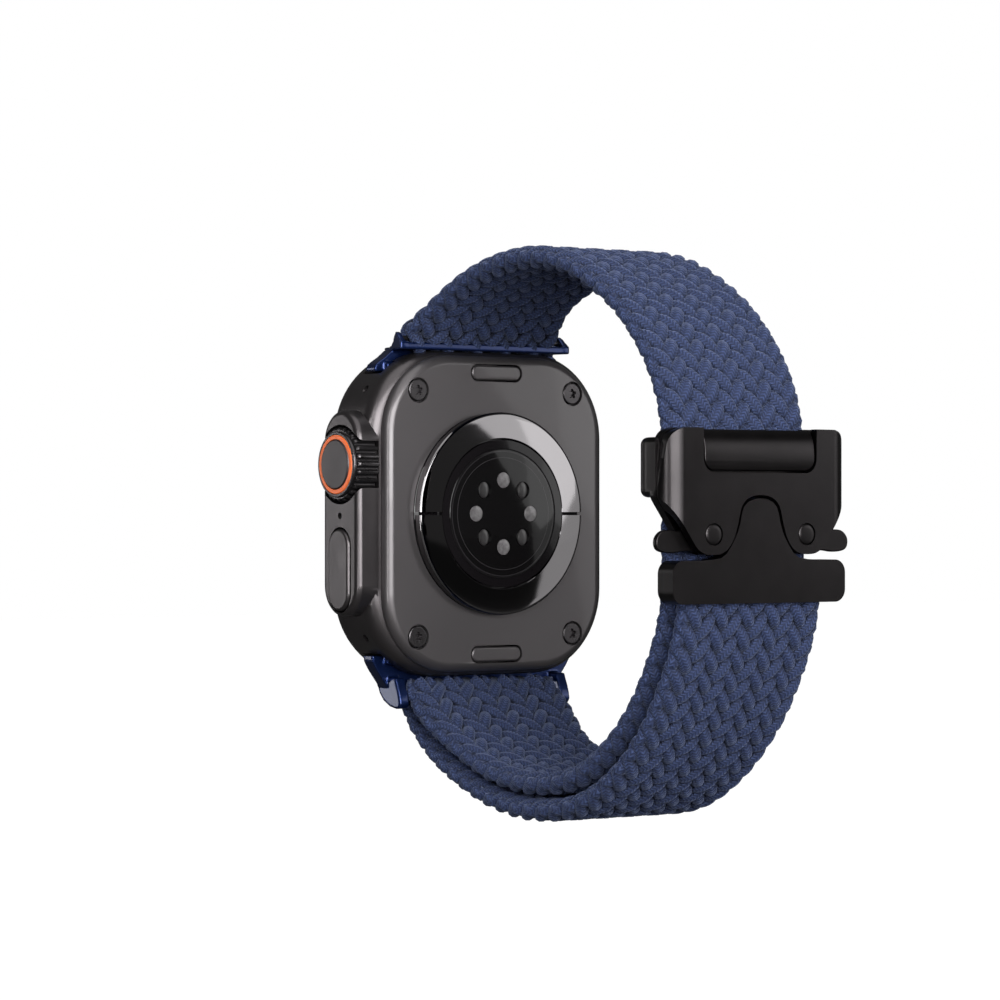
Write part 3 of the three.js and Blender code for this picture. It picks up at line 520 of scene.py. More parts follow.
window = turned("window", [
    (0, -8.36), (1.5, -8.355), (3.0, -8.342), (5.0, -8.31), (7.0, -8.262), (8.3, -8.222),
    (9.0, -8.198), (9.5, -8.18), (9.72, -8.17), (9.8, -8.12), (9.8, -7.6), (0, -7.6)])
LIGHT_RING = 5.05
wells = []
for step in range(8):
    angle = step * math.pi / 4
    radius = 1.2 if step % 2 == 0 else 1.28
    spot = (LIGHT_RING * math.cos(angle), LIGHT_RING * math.sin(angle))
    wells.append(drum("well", "Y", radius, -9.5, -8.0, spot, 40))
combine(window, wells, "DIFFERENCE")
smooth(window, 30)

# Fine printed rings near the window's rim.
window_glass = black_glass.copy()
window_glass.name = "window_glass"
tree = window_glass.node_tree
shader = tree.nodes["Principled BSDF"]
place = tree.nodes.new("ShaderNodeTexCoord")
centred = tree.nodes.new("ShaderNodeVectorMath")
centred.operation = "SUBTRACT"
centred.inputs[1].default_value = at(0, 0, 0)
flat = tree.nodes.new("ShaderNodeVectorMath")
flat.operation = "MULTIPLY"
flat.inputs[1].default_value = (1, 0, 1)
distance = tree.nodes.new("ShaderNodeVectorMath")
distance.operation = "LENGTH"
rings = tree.nodes.new("ShaderNodeValToRGB")
rings.color_ramp.interpolation = "LINEAR"
ring_scale = tree.nodes.new("ShaderNodeMath")
ring_scale.operation = "DIVIDE"
ring_scale.inputs[1].default_value = 10 * MM
tones = [(0.0, 0.004), (0.838, 0.004), (0.846, 0.03), (0.854, 0.004), (0.93, 0.004), (0.94, 0.024),
         (0.95, 0.006)]
for index, (stop, tone) in enumerate(tones):
    element = rings.color_ramp.elements[0] if index == 0 else rings.color_ramp.elements.new(stop)
    element.position = stop
    element.color = (tone, tone * 0.93, tone, 1)
rings.color_ramp.elements[-1].color = (0.006, 0.0055, 0.006, 1)
wire(
    tree,
    (place.outputs["Object"], centred.inputs[0]),
    (centred.outputs["Vector"], flat.inputs[0]),
    (flat.outputs["Vector"], distance.inputs[0]),
    (distance.outputs["Value"], ring_scale.inputs[0]),
    (ring_scale.outputs[0], rings.inputs["Fac"]),
    (rings.outputs["Color"], shader.inputs["Base Color"]),
)
dress(window, window_glass, "tracker", "black_glass", "sensor_window")

clear_lens = coated(
    "clear_lens", (0.02, 0.018, 0.019), (0.19, 0.18, 0.185), (0.2, 0.3), 0.1,
    bump=0.2, cloud_size=1500.0, coat_weight=0.3, coat_roughness=0.03)
dark_diode = coated(
    "dark_diode", (0.011, 0.0098, 0.0103), (0.017, 0.0153, 0.016), (0.3, 0.4), 0.0,
    bump=0.02, cloud_size=300.0, coat_weight=0.3, coat_roughness=0.03)
for step, quarter in enumerate(("right", "top", "left", "bottom")):
    for name, radius, angle, height, material, slot, node in (
            (f"lens_{quarter}", 1.18, step * 90, -8.33, clear_lens, "lens", f"led_lens_{quarter}"),
            (f"diode_{step + 1}", 1.2, step * 90 + 45, -8.27, dark_diode, "dark_steel",
             f"light_sensor_{step + 1}")):
        spot = (LIGHT_RING * math.cos(math.radians(angle)), LIGHT_RING * math.sin(math.radians(angle)))
        button = turned(
            name, [(0, height), (radius * 0.5, height + 0.01), (radius * 0.85, height + 0.03),
                   (radius, height + 0.08), (radius, -7.96), (0, -7.96)], spot, 40)
        if name.startswith("diode"):
            button.data.transform(
                Matrix.Translation(at(spot[0], 0, spot[1])) @ Matrix.Scale(0.74, 4, (1, 0, 0))
                @ Matrix.Translation(-at(spot[0], 0, spot[1])))
        smooth(button)
        dress(button, material, "tracker", slot, node)

# ------------------------------------------------------------------ display and inner parts
# A flat sheet of dark glass with ground edges fills the front. Behind it are the display
# panel, the board, the cell, the motor, the speaker and the coil, all closed in by the case.
glass = rounded_slab("front_glass", (-18.8, 4.6, -21.6), (18.8, 6.4, 21.6), 10.4, 24)
round_edges(glass, lambda middle, way: middle.y > 6.35, 0.55, 6)
smooth(glass)
dress(glass, black_glass, "tracker", "display_glass", "display_glass")


def finish_node(node, material):
    """Gives a solid that is carried over from the frame its finish."""
    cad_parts[node].data.materials.clear()
    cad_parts[node].data.materials.append(material)


inner_finishes = {
    "display_panel": coated("panel_film", (0.006, 0.006, 0.007), (0.012, 0.012, 0.014), (0.1, 0.2), 0.0),
    "main_board": coated("solder_mask", (0.012, 0.045, 0.024), (0.020, 0.070, 0.038), (0.3, 0.5), 0.0),
    "battery_cell": coated("cell_pouch", (0.12, 0.12, 0.13), (0.22, 0.22, 0.23), (0.3, 0.5), 0.6),
    "haptic_motor": dark_steel,
    "speaker_module": coated("black_rubber", (0.008, 0.008, 0.008), (0.018, 0.018, 0.018), (0.5, 0.7), 0.0),
    "charging_coil": coated("copper_wire", (0.30, 0.12, 0.05), (0.48, 0.20, 0.09), (0.25, 0.4), 1.0),
}
for node, material in inner_finishes.items():
    finish_node(node, material)

# ------------------------------------------------------------------ crown
# A toothed steel wheel turns on its stem in the guard's pocket. A thin ring of orange enamel
# lies in a groove round the smooth cap on its face.
TEETH = 28
wheel = drum("wheel", "X", CROWN_RADIUS, -24.45, -20.7, (0, CROWN_Z), 112)
round_edges(wheel, lambda middle, way: abs(way.x) < 0.5 and middle.x < -24.4, 0.55, 4)
grooves = []
for tooth in range(TEETH):
    angle = 2 * math.pi * (tooth + 0.5) / TEETH
    spot = (5.55 * math.cos(angle), CROWN_Z + 5.55 * math.sin(angle))
    grooves.append(drum("groove", "X", 0.42, -26, -19, spot, 12))
combine(wheel, grooves, "DIFFERENCE")
face = drum("face", "X", 4.95, -24.85, -24.3, (0, CROWN_Z), 96)
round_edges(face, lambda middle, way: middle.x < -24.8, 0.25, 3)
combine(wheel, [face], "UNION")
combine(
    wheel,
    [drum("ring_seat", "X", 4.5, -26, -24.5, (0, CROWN_Z), 96),
     drum("bore", "X", 1.4, -23.1, -20, (0, CROWN_Z), 24)],
    "DIFFERENCE")
soften(wheel, 0.1, 2, 40)
dress(wheel, dark_steel, "crown", "dark_steel", "crown_wheel")

enamel = coated(
    "orange_enamel", (0.60, 0.10, 0.018), (0.76, 0.15, 0.03), (0.45, 0.55), 0.0,
    bump=0.02, specular_ior_level=0.2, coat_weight=0.1, coat_roughness=0.1)
ring = drum("ring", "X", 4.4, -24.95, -24.55, (0, CROWN_Z), 96)
round_edges(ring, lambda middle, way: middle.x < -24.9, 0.12, 3)
combine(ring, [drum("ring_hole", "X", 3.78, -26, -24, (0, CROWN_Z), 96)], "DIFFERENCE")
smooth(ring)
dress(ring, enamel, "crown", "orange_ring", "crown_ring")

crown_face = coated(
    "crown_face", (0.060, 0.055, 0.057), (0.090, 0.083, 0.085), (0.30, 0.40), 0.9, bump=0.06)
cap = drum("cap", "X", 3.68, -25.1, -24.6, (0, CROWN_Z), 96)
round_edges(cap, lambda middle, way: middle.x < -25.0, 0.22, 4)
smooth(cap)
dress(cap, crown_face, "crown", "titanium", "crown_cap")
finish_node("crown_stem", dark_steel)

# ------------------------------------------------------------------ side and action buttons
# The side button is a long metal key with softly rounded edges, proud of the guard. The
# action button on the far side is the same kind of key in orange.
for name, material, slot, low, high, half_long, half_short, z, front in (
        ("side_key", titanium, "titanium", -24.5, -22.9, 6.1, 2.7, BUTTON_Z, -24.5),
        ("action_key", enamel, "orange_ring", 21.5, 22.5, 5.2, 2.1, 5.5, 22.5)):
    key = stadium(name, "X", half_long, half_short, low, high, z, steps=14)
    round_edges(key, lambda middle, way: abs(middle.x - front) < 0.05, 0.45, 5)
    stem_low, stem_high = (-23.0, -18.4) if front < 0 else (18.4, 21.6)
    combine(key, [drum("stem", "X", 0.9, stem_low, stem_high, (0, z), 24)], "UNION")
    smooth(key)
    node = "side_button" if front < 0 else "action_button"
    dress(key, material, node, slot, node)

# ------------------------------------------------------------------ lugs
# Each lug is one blue anodised metal part: a rail that slides into the case, a web that
# flares out to the case's corners, and two cheeks that hold the steel bar of the strap.
anodised = coated(
    "blue_anodised", (0.004, 0.012, 0.060), (0.008, 0.022, 0.095), (0.26, 0.36), 0.85,
    bump=0.03, coat_weight=0.3, coat_roughness=0.08)


def plate(name, outline, low, high, facing="Y"):
    """A plate cut to an outline of (x, z) points; of (y, z) if it faces X, of (x, y) if it faces Z."""
    level = "XYZ".index(facing)
    spots = [at(*corner[:level], low, *corner[level:]) for corner in outline]
    bpy.ops.object.select_all(action="DESELECT")
    bpy.ops.mesh.primitive_circle_add(vertices=len(outline), radius=MM, fill_type="NGON")
    piece = settle(bpy.context.object, name)
    for vertex, spot in zip(piece.data.vertices, spots):
        vertex.co = spot
    bpy.ops.object.mode_set(mode="EDIT")
    reach = (high - low) * MM
    push = {"X": (reach, 0, 0), "Y": (0, reach, 0), "Z": (0, 0, reach)}[facing]
    bpy.ops.mesh.extrude_region_move(TRANSFORM_OT_translate={"value": push})
    face_outwards()
    return piece


def mirrored(right):
    """A closed outline from its right half, which runs down from the top or up from the foot."""
    return right + [(-x, z) for x, z in reversed(right) if x > 1e-6]


def blended(piece, grain, rounds):
    """Melts a joined piece into one skin whose inner corners are softly filled."""
    modifier = piece.modifiers.new("one_skin", "REMESH")
    modifier.mode, modifier.voxel_size = "VOXEL", grain * MM
    finish_modifier(piece, modifier)
    modifier = piece.modifiers.new("soft_corners", "SMOOTH")
    modifier.factor, modifier.iterations = 0.5, rounds
    finish_modifier(piece, modifier)
    pick(piece)
    bpy.ops.object.shade_smooth()
    return piece


LUG_HALF = 15.85
LUG_ENDS = {
    "upper": {
        "side": 1, "bar": (-2.1, 26.3, 0.45),
        "flare": [(17.0, 21.35), (18.0, 21.3), (18.2, 21.7), (17.85, 22.4), (17.1, 22.95), (16.2, 23.5),
                  (15.2, 24.3), (14.5, 25.0)],
        "base": [(2.6, 24.6), (2.4, 25.05), (-0.4, 25.05), (-0.6, 24.9), (-3.4, 24.9), (-3.4, 25.7),
                 (-3.9, 25.7), (-3.95, 24.6)],
        "uprights": [
            (14.7, LUG_HALF,
             [(2.6, 24.6), (2.4, 24.95), (1.2, 25.0), (-0.1, 25.25), (-0.85, 25.9), (-1.3, 26.7),
              (-1.75, 27.25), (-2.2, 27.25), (-2.7, 26.85), (-3.3, 26.2), (-3.95, 25.7),
              (-3.95, 24.6)])],
    },
    "lower": {
        "side": -1, "bar": (-1.85, 27.9, 0.7),
        "flare": [(17.0, 21.35), (18.6, 21.3), (18.5, 22.2), (17.8, 23.4), (17.0, 24.5), (16.4, 25.3),
                  (15.85, 26.1)],
        "base": [(2.6, 24.6), (2.4, 25.4), (-0.5, 25.4), (-0.5, 24.6)],
        "uprights": [
            (14.2, LUG_HALF,
             [(2.1, 24.6), (2.35, 25.8), (1.85, 27.0), (0.75, 28.15), (-0.9, 28.95), (-2.5, 29.25),
              (-3.5, 29.15), (-3.85, 28.6), (-3.8, 27.9), (-3.6, 27.2), (-3.3, 26.4), (-2.9, 25.5),
              (-2.5, 24.6)])],
    },
}
for end, lug in LUG_ENDS.items():
    side = lug["side"]
    turned_over = [(x, side * z) for x, z in lug["flare"]]
    web = plate(f"lug_{end}_web", mirrored(turned_over), -0.5, 2.1)
    parts = [block("rail", (-16.4, -1.3, side * RAIL_Z - 0.65), (16.4, 2.9, side * RAIL_Z + 0.65))]
    parts.append(plate("base", [(y, side * z) for y, z in lug["base"]], -LUG_HALF, LUG_HALF, "X"))
    for inner, outer, profile in lug["uprights"]:
        outline = [(y, side * z) for y, z in profile]
        parts.append(plate("upright", outline, inner, outer, "X"))
        parts.append(plate("upright", outline, -outer, -inner, "X"))
    combine(web, parts, "UNION")
    bar_y, bar_z, bar_hole = lug["bar"]
    cuts = [
        block("lock_pocket", (-1.4, -2.5, side * 21.63 - 0.48), (1.4, 1.7, side * 21.63 + 0.48)),
        drum("bar_seat", "X", bar_hole, -15.15, 15.15, (bar_y, side * bar_z), 32)]
    if end == "upper":
        for sign in (-1, 1):
            wedge = [(sign * LUG_HALF, -4.0), (sign * 14.4, 2.7), (sign * 20, 2.7), (sign * 20, -4.0)]
            cuts.append(plate("end_taper", wedge, 24.55, 30, "Z"))
    combine(web, cuts, "DIFFERENCE")
    blended(web, 0.16, 5)
    dress(web, anodised, "band", "blue_metal", f"lug_{end}")
for node in ("strap_bar_upper", "strap_bar_lower"):
    finish_node(node, dark_steel)
sprung_steel = coated("sprung_steel", (0.35, 0.36, 0.37), (0.50, 0.51, 0.52), (0.18, 0.28), 1.0)
for node in ("lock_pin_upper", "lock_pin_lower"):
    finish_node(node, sprung_steel)

# ------------------------------------------------------------------ braided strap
# The strap is a flat plait of fat elastic cords, each in a knitted polyester sleeve. Every cord
# runs from edge to edge and back, over two of the cords it meets and under the next two.
CORDS = 21
ROW = 3.2
HALF_BRAID = 12.35
CORD_WIDE, CORD_DEEP = 1.06, 0.86
LIFT = 0.86
PERIOD = CORDS * ROW
AROUND = 10
LINE_STEP = 0.25
MAIN_ROUTE = [
    (-1.9, 24.9), (-5.1, 29.2), (-9.2, 32.2), (-15, 34.7), (-22.5, 36.5), (-31, 37.0), (-39, 35.6),
    (-46.5, 32.2), (-52.6, 28.0), (-57.8, 22.4), (-61.0, 16.8), (-62.3, 11.5), (-62.5, 6),
    (-62.5, 0), (-62.5, -7), (-62.0, -13.5), (-59.3, -20.2), (-54.9, -27.0), (-48.6, -33.0),
    (-40.8, -37.4), (-31, -38.9), (-21.3, -37.9), (-13.4, -35.0), (-8.2, -31.7), (-4.7, -28.7),
    (-2.9, -26.9), (-2.1, -25.2)]
TAIL_ROUTE = [
    (0.9, -27.6), (-0.4, -30.4), (-2.8, -33.0), (-7.2, -36.3), (-13.6, -39.3), (-21.6, -41.8),
    (-31, -42.7), (-42.1, -41.1), (-51.2, -36.1), (-58.1, -29.3), (-62.9, -21.6), (-65.3, -15.6),
    (-65.8, -12.2), (-65.8, -8.8)]


def soft_point(before, start, end, after, t):
    """The point at a share t of the way from start to end, on a soft curve through all four."""
    return tuple(
        0.5 * (2 * b + (c - a) * t + (2 * a - 5 * b + 4 * c - d) * t * t
               + (3 * b - a - 3 * c + d) * t ** 3)
        for a, b, c, d in zip(before, start, end, after))


def smooth_line(route, step=LINE_STEP):
    """Evenly spaced points on a soft curve through the route."""
    fine = []
    for index in range(len(route) - 1):
        before = route[max(index - 1, 0)]
        start, end = route[index], route[index + 1]
        after = route[min(index + 2, len(route) - 1)]
        for tick in range(40):
            fine.append(soft_point(before, start, end, after, tick / 40))
    fine.append(route[-1])
    line, travelled, due = [fine[0]], 0.0, step
    for start, end in zip(fine, fine[1:]):
        gap = math.dist(start, end)
        while travelled + gap >= due:
            share = (due - travelled) / gap
            line.append(tuple(a + (b - a) * share for a, b in zip(start, end)))
            due += step
        travelled += gap
    return line


def place_on(line, length, step=LINE_STEP):
    """The point and the direction of the curve at a length along it."""
    position = min(max(length / step, 0), len(line) - 1.001)
    index = int(position)
    share = position - index
    here, ahead = Vector(line[index]), Vector(line[index + 1])
    behind = Vector(line[max(index - 3, 0)])
    beyond = Vector(line[min(index + 4, len(line) - 1)])
    return here.lerp(ahead, share), (beyond - behind).normalized()


def sway(turn):
    """Where a cord is across the strap, from -1 to 1, with soft turns at the edges."""
    turn = turn % 1.0
    straight = 4 * turn - 1 if turn < 0.5 else 3 - 4 * turn
    return math.copysign(1 - (max(1 - abs(straight), 0) ** 2 + 0.004) ** 0.5, straight)


def height(turn):
    """How far a cord stands above (1) or below (-1) the middle; it wraps softly round the edges."""
    turn = turn % 1.0
    rising = turn < 0.5
    crossing = (turn if rising else 1 - turn) * 2 * CORDS
    wave = math.sin(math.pi * (crossing - 0.5) / 2)
    level = wave if rising else -wave
    wrap = min(min(crossing, CORDS - crossing) / 0.9, 1)
    return math.copysign(abs(level) ** 0.6, level) * math.sin(math.pi / 2 * wrap)


def braid(name, line, start, end, phase, flared_ends=(), fold=0.0):
    """The cords of the strap between two lengths along its line, as one mesh.

    Near a flared end, given as (length, share), the strap spreads to fill the lug's width. A fold
    is how much thicker the strap is where it starts, because it is doubled round the lug's bar.
    """
    verts, faces, coords, raised = [], [], [], []
    count = int((end - start) / 0.42)
    for cord in range(CORDS):
        rows = []
        for tick in range(count + 1):
            length = start + (end - start) * tick / count
            turn = (length + phase) / PERIOD + cord / CORDS
            spot, way = place_on(line, length)
            outward = Vector((0, way.y, -way.x))
            above = height(turn)
            spread = 1 + sum(
                share * math.exp(-((length - place) / 7.0) ** 2) for place, share in flared_ends)
            folded = fold * math.exp(-(length / 4.0) ** 2) * (above + 1) / 2
            middle = Vector((HALF_BRAID * spread * sway(turn), spot.x, spot.y))
            middle += outward * (LIFT * above + folded)
            rows.append((middle, outward, above, spread))
        first, run = len(verts), 0.0
        for tick, (middle, outward, above, spread) in enumerate(rows):
            back, ahead = rows[max(tick - 1, 0)][0], rows[min(tick + 1, count)][0]
            way = (ahead - back).normalized()
            side = way.cross(outward).normalized()
            up = side.cross(way).normalized()
            run += (middle - rows[max(tick - 1, 0)][0]).length
            plump = 1 + 0.07 * above
            for corner in range(AROUND):
                angle = 2 * math.pi * corner / AROUND
                offset = side * CORD_WIDE * plump * math.cos(angle) + up * CORD_DEEP * math.sin(angle)
                skin = middle + offset
                verts.append(at(*skin))
                # How far this point of the skin stands out, on top of the strap or at its edges; the cord
                # material paints a highlight there and paints shade in the crevices.
                raised.append(max(
                    abs(LIFT * above + offset.dot(outward)) / (LIFT + CORD_DEEP),
                    min(abs(skin.x) / (HALF_BRAID * spread), 1) ** 8))
            coords.append(run)
        for tick in range(count):
            for corner in range(AROUND):
                a = first + tick * AROUND + corner
                b = first + tick * AROUND + (corner + 1) % AROUND
                faces.append((a, b, b + AROUND, a + AROUND))
        faces.append(tuple(first + corner for corner in reversed(range(AROUND))))
        faces.append(tuple(first + count * AROUND + corner for corner in range(AROUND)))
    mesh = bpy.data.meshes.new(name)
    mesh.from_pydata(verts, [], faces)
    mesh.attributes.new("raised", "FLOAT", "POINT").data.foreach_set("value", raised)
    sleeve = mesh.uv_layers.new(name="sleeve")
    for face in mesh.polygons:
        corners = [v % AROUND for v in face.vertices]
        for loop, vertex in zip(face.loop_indices, face.vertices):
            around = vertex % AROUND
            if len(corners) == 4 and around == 0 and max(corners) == AROUND - 1:
                around = AROUND
            sleeve.data[loop].uv = (coords[vertex // AROUND], around / AROUND)
    piece = bpy.data.objects.new(name, mesh)
    bpy.context.scene.collection.objects.link(piece)
    pick(piece)
    bpy.ops.object.mode_set(mode="EDIT")
    face_outwards()
    bpy.ops.object.shade_smooth_by_angle(angle=math.radians(60))
    return piece


# Knitted sleeve: fine ribs round the cord that meet in small chevrons, with flecks of yarn.
knit = bpy.data.node_groups.new("knitted_sleeve", "ShaderNodeTree")
socket(knit, "Rib Length", "Float", "INPUT", 0.42)
socket(knit, "Rib", "Float", "OUTPUT")
socket(knit, "Fleck", "Float", "OUTPUT")
inside = knit.nodes.new("NodeGroupInput")
outside = knit.nodes.new("NodeGroupOutput")
sleeve_map = knit.nodes.new("ShaderNodeUVMap")
sleeve_map.uv_map = "sleeve"
split = knit.nodes.new("ShaderNodeSeparateXYZ")
wire(knit, (sleeve_map.outputs["UV"], split.inputs["Vector"]))


def sum_node(tree, operation, first, second=None):
    """A Math node; each input is a socket or a number. Returns its output."""
    node = tree.nodes.new("ShaderNodeMath")
    node.operation = operation
    for index, value in enumerate((first, second)):
        if value is None:
            continue
        if isinstance(value, (int, float)):
            node.inputs[index].default_value = value
        else:
            tree.links.new(value, node.inputs[index])
    return node.outputs[0]


across = sum_node(knit, "MULTIPLY", split.outputs["Y"], 6.0)
zigzag = sum_node(knit, "PINGPONG", across, 0.5)
along_rib = sum_node(knit, "DIVIDE", split.outputs["X"], inside.outputs["Rib Length"])
leaning = sum_node(knit, "ADD", along_rib, sum_node(knit, "MULTIPLY", zigzag, 1.6))
rib_wave = sum_node(knit, "SINE", sum_node(knit, "MULTIPLY", leaning, 2 * math.pi))
rib_height = sum_node(knit, "MULTIPLY_ADD", rib_wave, 0.5)
rib_height.node.inputs[2].default_value = 0.5
seam = sum_node(knit, "MULTIPLY", zigzag, 2.0)
seam_soft = sum_node(knit, "POWER", seam, 0.35)
yarn_place = knit.nodes.new("ShaderNodeCombineXYZ")
fleck = knit.nodes.new("ShaderNodeTexNoise")
preset(fleck, {"Scale": 1.0, "Detail": 3})
wire(
    knit,
    (sum_node(knit, "MULTIPLY", split.outputs["X"], 2.4), yarn_place.inputs["X"]),
    (sum_node(knit, "MULTIPLY", split.outputs["Y"], 16.0), yarn_place.inputs["Y"]),
    (yarn_place.outputs["Vector"], fleck.inputs["Vector"]),
    (sum_node(knit, "MULTIPLY", rib_height, seam_soft), outside.inputs["Rib"]),
    (fleck.outputs["Fac"], outside.inputs["Fleck"]),
)

navy_cord = bpy.data.materials.new("navy_elastic_cord")
navy_cord.use_nodes = True
tree = navy_cord.node_tree
shader = tree.nodes["Principled BSDF"]
texture = tree.nodes.new("ShaderNodeGroup")
texture.node_tree = knit
rib_tone = tree.nodes.new("ShaderNodeMix")
rib_tone.data_type = "RGBA"
preset(rib_tone, {"A": (0.0042, 0.0080, 0.0285, 1), "B": (0.027, 0.0430, 0.109, 1)})
fleck_tone = tree.nodes.new("ShaderNodeMix")
fleck_tone.data_type = "RGBA"
fleck_tone.blend_type = "MULTIPLY"
fleck_tone.inputs["Factor"].default_value = 0.5
fleck_range = tree.nodes.new("ShaderNodeMapRange")
preset(fleck_range, {"From Min": 0.3, "From Max": 0.7, "To Min": 0.55, "To Max": 1.35})
# Painted light and shade: the cords are painted paler where they stand out, on top and at the strap's
# edges, and darker in the crevices between them, where shade falls.
raised_shade_map = tree.nodes.new("ShaderNodeAttribute")
raised_shade_map.attribute_name = "raised"
painted_crevice_shade = tree.nodes.new("ShaderNodeMapRange")
painted_crevice_shade.interpolation_type = "SMOOTHSTEP"
preset(painted_crevice_shade, {"From Min": 0.25, "From Max": 0.95, "To Min": 0.14, "To Max": 1.1})
painted_shade_tone = tree.nodes.new("ShaderNodeMix")
painted_shade_tone.data_type = "RGBA"
painted_shade_tone.blend_type = "MULTIPLY"
painted_shade_tone.inputs["Factor"].default_value = 1.0
relief = tree.nodes.new("ShaderNodeBump")
preset(relief, {"Strength": 0.7, "Distance": 0.00012})
wire(
    tree,
    (texture.outputs["Rib"], rib_tone.inputs["Factor"]),
    (rib_tone.outputs["Result"], fleck_tone.inputs["A"]),
    (texture.outputs["Fleck"], fleck_range.inputs["Value"]),
    (fleck_range.outputs["Result"], fleck_tone.inputs["B"]),
    (fleck_tone.outputs["Result"], painted_shade_tone.inputs["A"]),
    (raised_shade_map.outputs["Fac"], painted_crevice_shade.inputs["Value"]),
    (painted_crevice_shade.outputs["Result"], painted_shade_tone.inputs["B"]),
    (painted_shade_tone.outputs["Result"], shader.inputs["Base Color"]),
    (texture.outputs["Rib"], relief.inputs["Height"]),
    (relief.outputs["Normal"], shader.inputs["Normal"]),
)
preset(shader, {
    "Roughness": 0.78, "Sheen Weight": 0.18, "Sheen Roughness": 0.4,
    "Sheen Tint": (0.55, 0.65, 1.0, 1), "Specular IOR Level": 0.3})

main_line = smooth_line(MAIN_ROUTE)
main_length = LINE_STEP * (len(main_line) - 1)
points_before_buckle = [spot for spot in main_line[:main_line.index(min(main_line))] if spot[1] > 0]
through_buckle = LINE_STEP * len(points_before_buckle)
for name, start, end, flared_ends, fold in (
        ("strap_over_top", 0.0, through_buckle, [(0, 0.14)], 2.4),
        ("strap_inner_run", through_buckle, main_length, [(main_length - 5, 0.15)], 0.0)):
    run = braid(name, main_line, start, end, 0.0, flared_ends, fold)
    dress(run, navy_cord, "band", "braid", "strap_main")

tail_line = smooth_line(TAIL_ROUTE)
tail_length = LINE_STEP * (len(tail_line) - 1)
tail_run = braid("strap_tail_run", tail_line, 0.3, tail_length - 0.3, 1.3)
tail_run.data.materials.append(navy_cord)
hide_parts("strap_tail")
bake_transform(tail_run)

# ------------------------------------------------------------------ buckle frame
# The strap runs through a black steel frame: a flat base plate in front of it, bent sides and
# two thin bars behind. The steel is blasted and coated in a hard satin black.
satin_black = coated(
    "satin_black", (0.017, 0.0155, 0.016), (0.029, 0.0263, 0.0273), (0.27, 0.36), 1.0, 0.03, 140.0,
    coat_weight=0.1, coat_roughness=0.2)


def curved(points, between=6):
    """A closed outline on a smooth curve through the points."""
    outline = []
    for index, start in enumerate(points):
        before, end = points[index - 1], points[(index + 1) % len(points)]
        after = points[(index + 2) % len(points)]
        for tick in range(between):
            outline.append(soft_point(before, start, end, after, tick / between))
    return outline


RIVET_X, RIVET_Z = 8.3, -2.85
# The outline of both plates, from the notch's top round the lobe and up the side.
PLATE_RIGHT = [
    (1.3, 2.42), (2.5, 1.95), (3.3, 1.1), (3.7, 0.0), (4.0, -1.2), (4.4, -2.5), (4.75, -3.35),
    (5.2, -4.1), (5.8, -4.8), (6.6, -5.3), (7.6, -5.6), (9.2, -5.6), (10.1, -5.4), (11.0, -4.9),
    (11.7, -4.15), (12.55, -2.98), (13.4, -1.8), (14.6, -0.15), (15.8, 1.5), (16.2, 2.2),
    (16.3, 3.0), (16.13, 4.7), (15.95, 6.4), (15.8, 7.9), (15.65, 9.4), (15.35, 10.4),
    (14.7, 11.15), (13.7, 11.6), (12.6, 11.7), (6.3, 11.7)]
PLATE_LEFT = [(-x, z) for x, z in reversed(PLATE_RIGHT)]
PLATE_OUTLINE = curved([(0, 2.55)] + PLATE_RIGHT + [(0, 11.7)] + PLATE_LEFT, 4)


def bent_strip(half, ends, face, radius, steps=14):
    """An outline seen from above, square at y = ends and with rounded corners at y = face."""
    turn = math.copysign(1, ends - face)
    corner = []
    for tick in range(steps + 1):
        angle = math.pi / 2 * tick / steps
        across, back = radius * math.cos(angle), radius * (1 - math.sin(angle))
        corner.append((half - radius + across, face + turn * back))
    return [(half, ends)] + corner + [(-x, y) for x, y in reversed(corner)] + [(-half, ends)]


def flap_window(sill):
    """The opening through a plate for the flap, with rounded lower corners over its sill."""
    opening = block("flap_window", (-10.1, -72, sill), (10.1, -64.2, 16.0))
    round_edges(opening, lambda middle, way: abs(way.y) > 0.99 and middle.z < sill + 0.1, 2.0, 10)
    return opening


ring = plate("buckle_ring", bent_strip(16.3, -65.7, -59.9, 4.0), 2.2, 10.4, "Z")
round_edges(ring, lambda middle, way: abs(way.z) < 0.1, 1.0, 5)
combine(ring, [plate("buckle_base", PLATE_OUTLINE, -65.9, -64.5)], "UNION")
openings = [
    plate("strap_passage", bent_strip(13.5, -64.5, -60.65, 1.5), -12, 14, "Z"),
    block("between_bars", (-13.5, -64.5, 4.0), (13.5, -58.5, 9.2)),
    flap_window(7.0),
]
openings += [drum("rivet_hole", "Y", 1.05, -70, -60, (side * RIVET_X, RIVET_Z), 32) for side in (-1, 1)]
combine(ring, openings, "DIFFERENCE")
soften(ring, 0.22, 3)
dress(ring, satin_black, "band", "black_metal", "buckle_frame")

# ------------------------------------------------------------------ front plate
# The front plate is pressed from the same black steel and rolled back round the frame's sides.
# Two flush rivets with slightly domed heads hold it, and the levers turn on their shanks.
front = plate("front_sheet", PLATE_OUTLINE, -69.0, -66.05)
rolled = plate("rolled_sheet", bent_strip(16.3, -64.0, -68.5, 3.0, 20), -8, 14, "Z")
combine(front, [rolled], "INTERSECT")
hollow = plate("sheet_inside", bent_strip(15.1, -63.0, -67.3, 1.8, 20), -9, 15, "Z")
holes = [hollow, flap_window(5.6)]
for side in (-1, 1):
    holes.append(drum("rivet_hole", "Y", 1.05, -70, -60, (side * RIVET_X, RIVET_Z), 32))
    holes.append(drum("rivet_seat", "Y", 1.55, -70, -68.05, (side * RIVET_X, RIVET_Z), 48))
combine(front, holes, "DIFFERENCE")
soften(front, 0.20, 3)
dress(front, satin_black, "band", "black_metal", "front_plate")
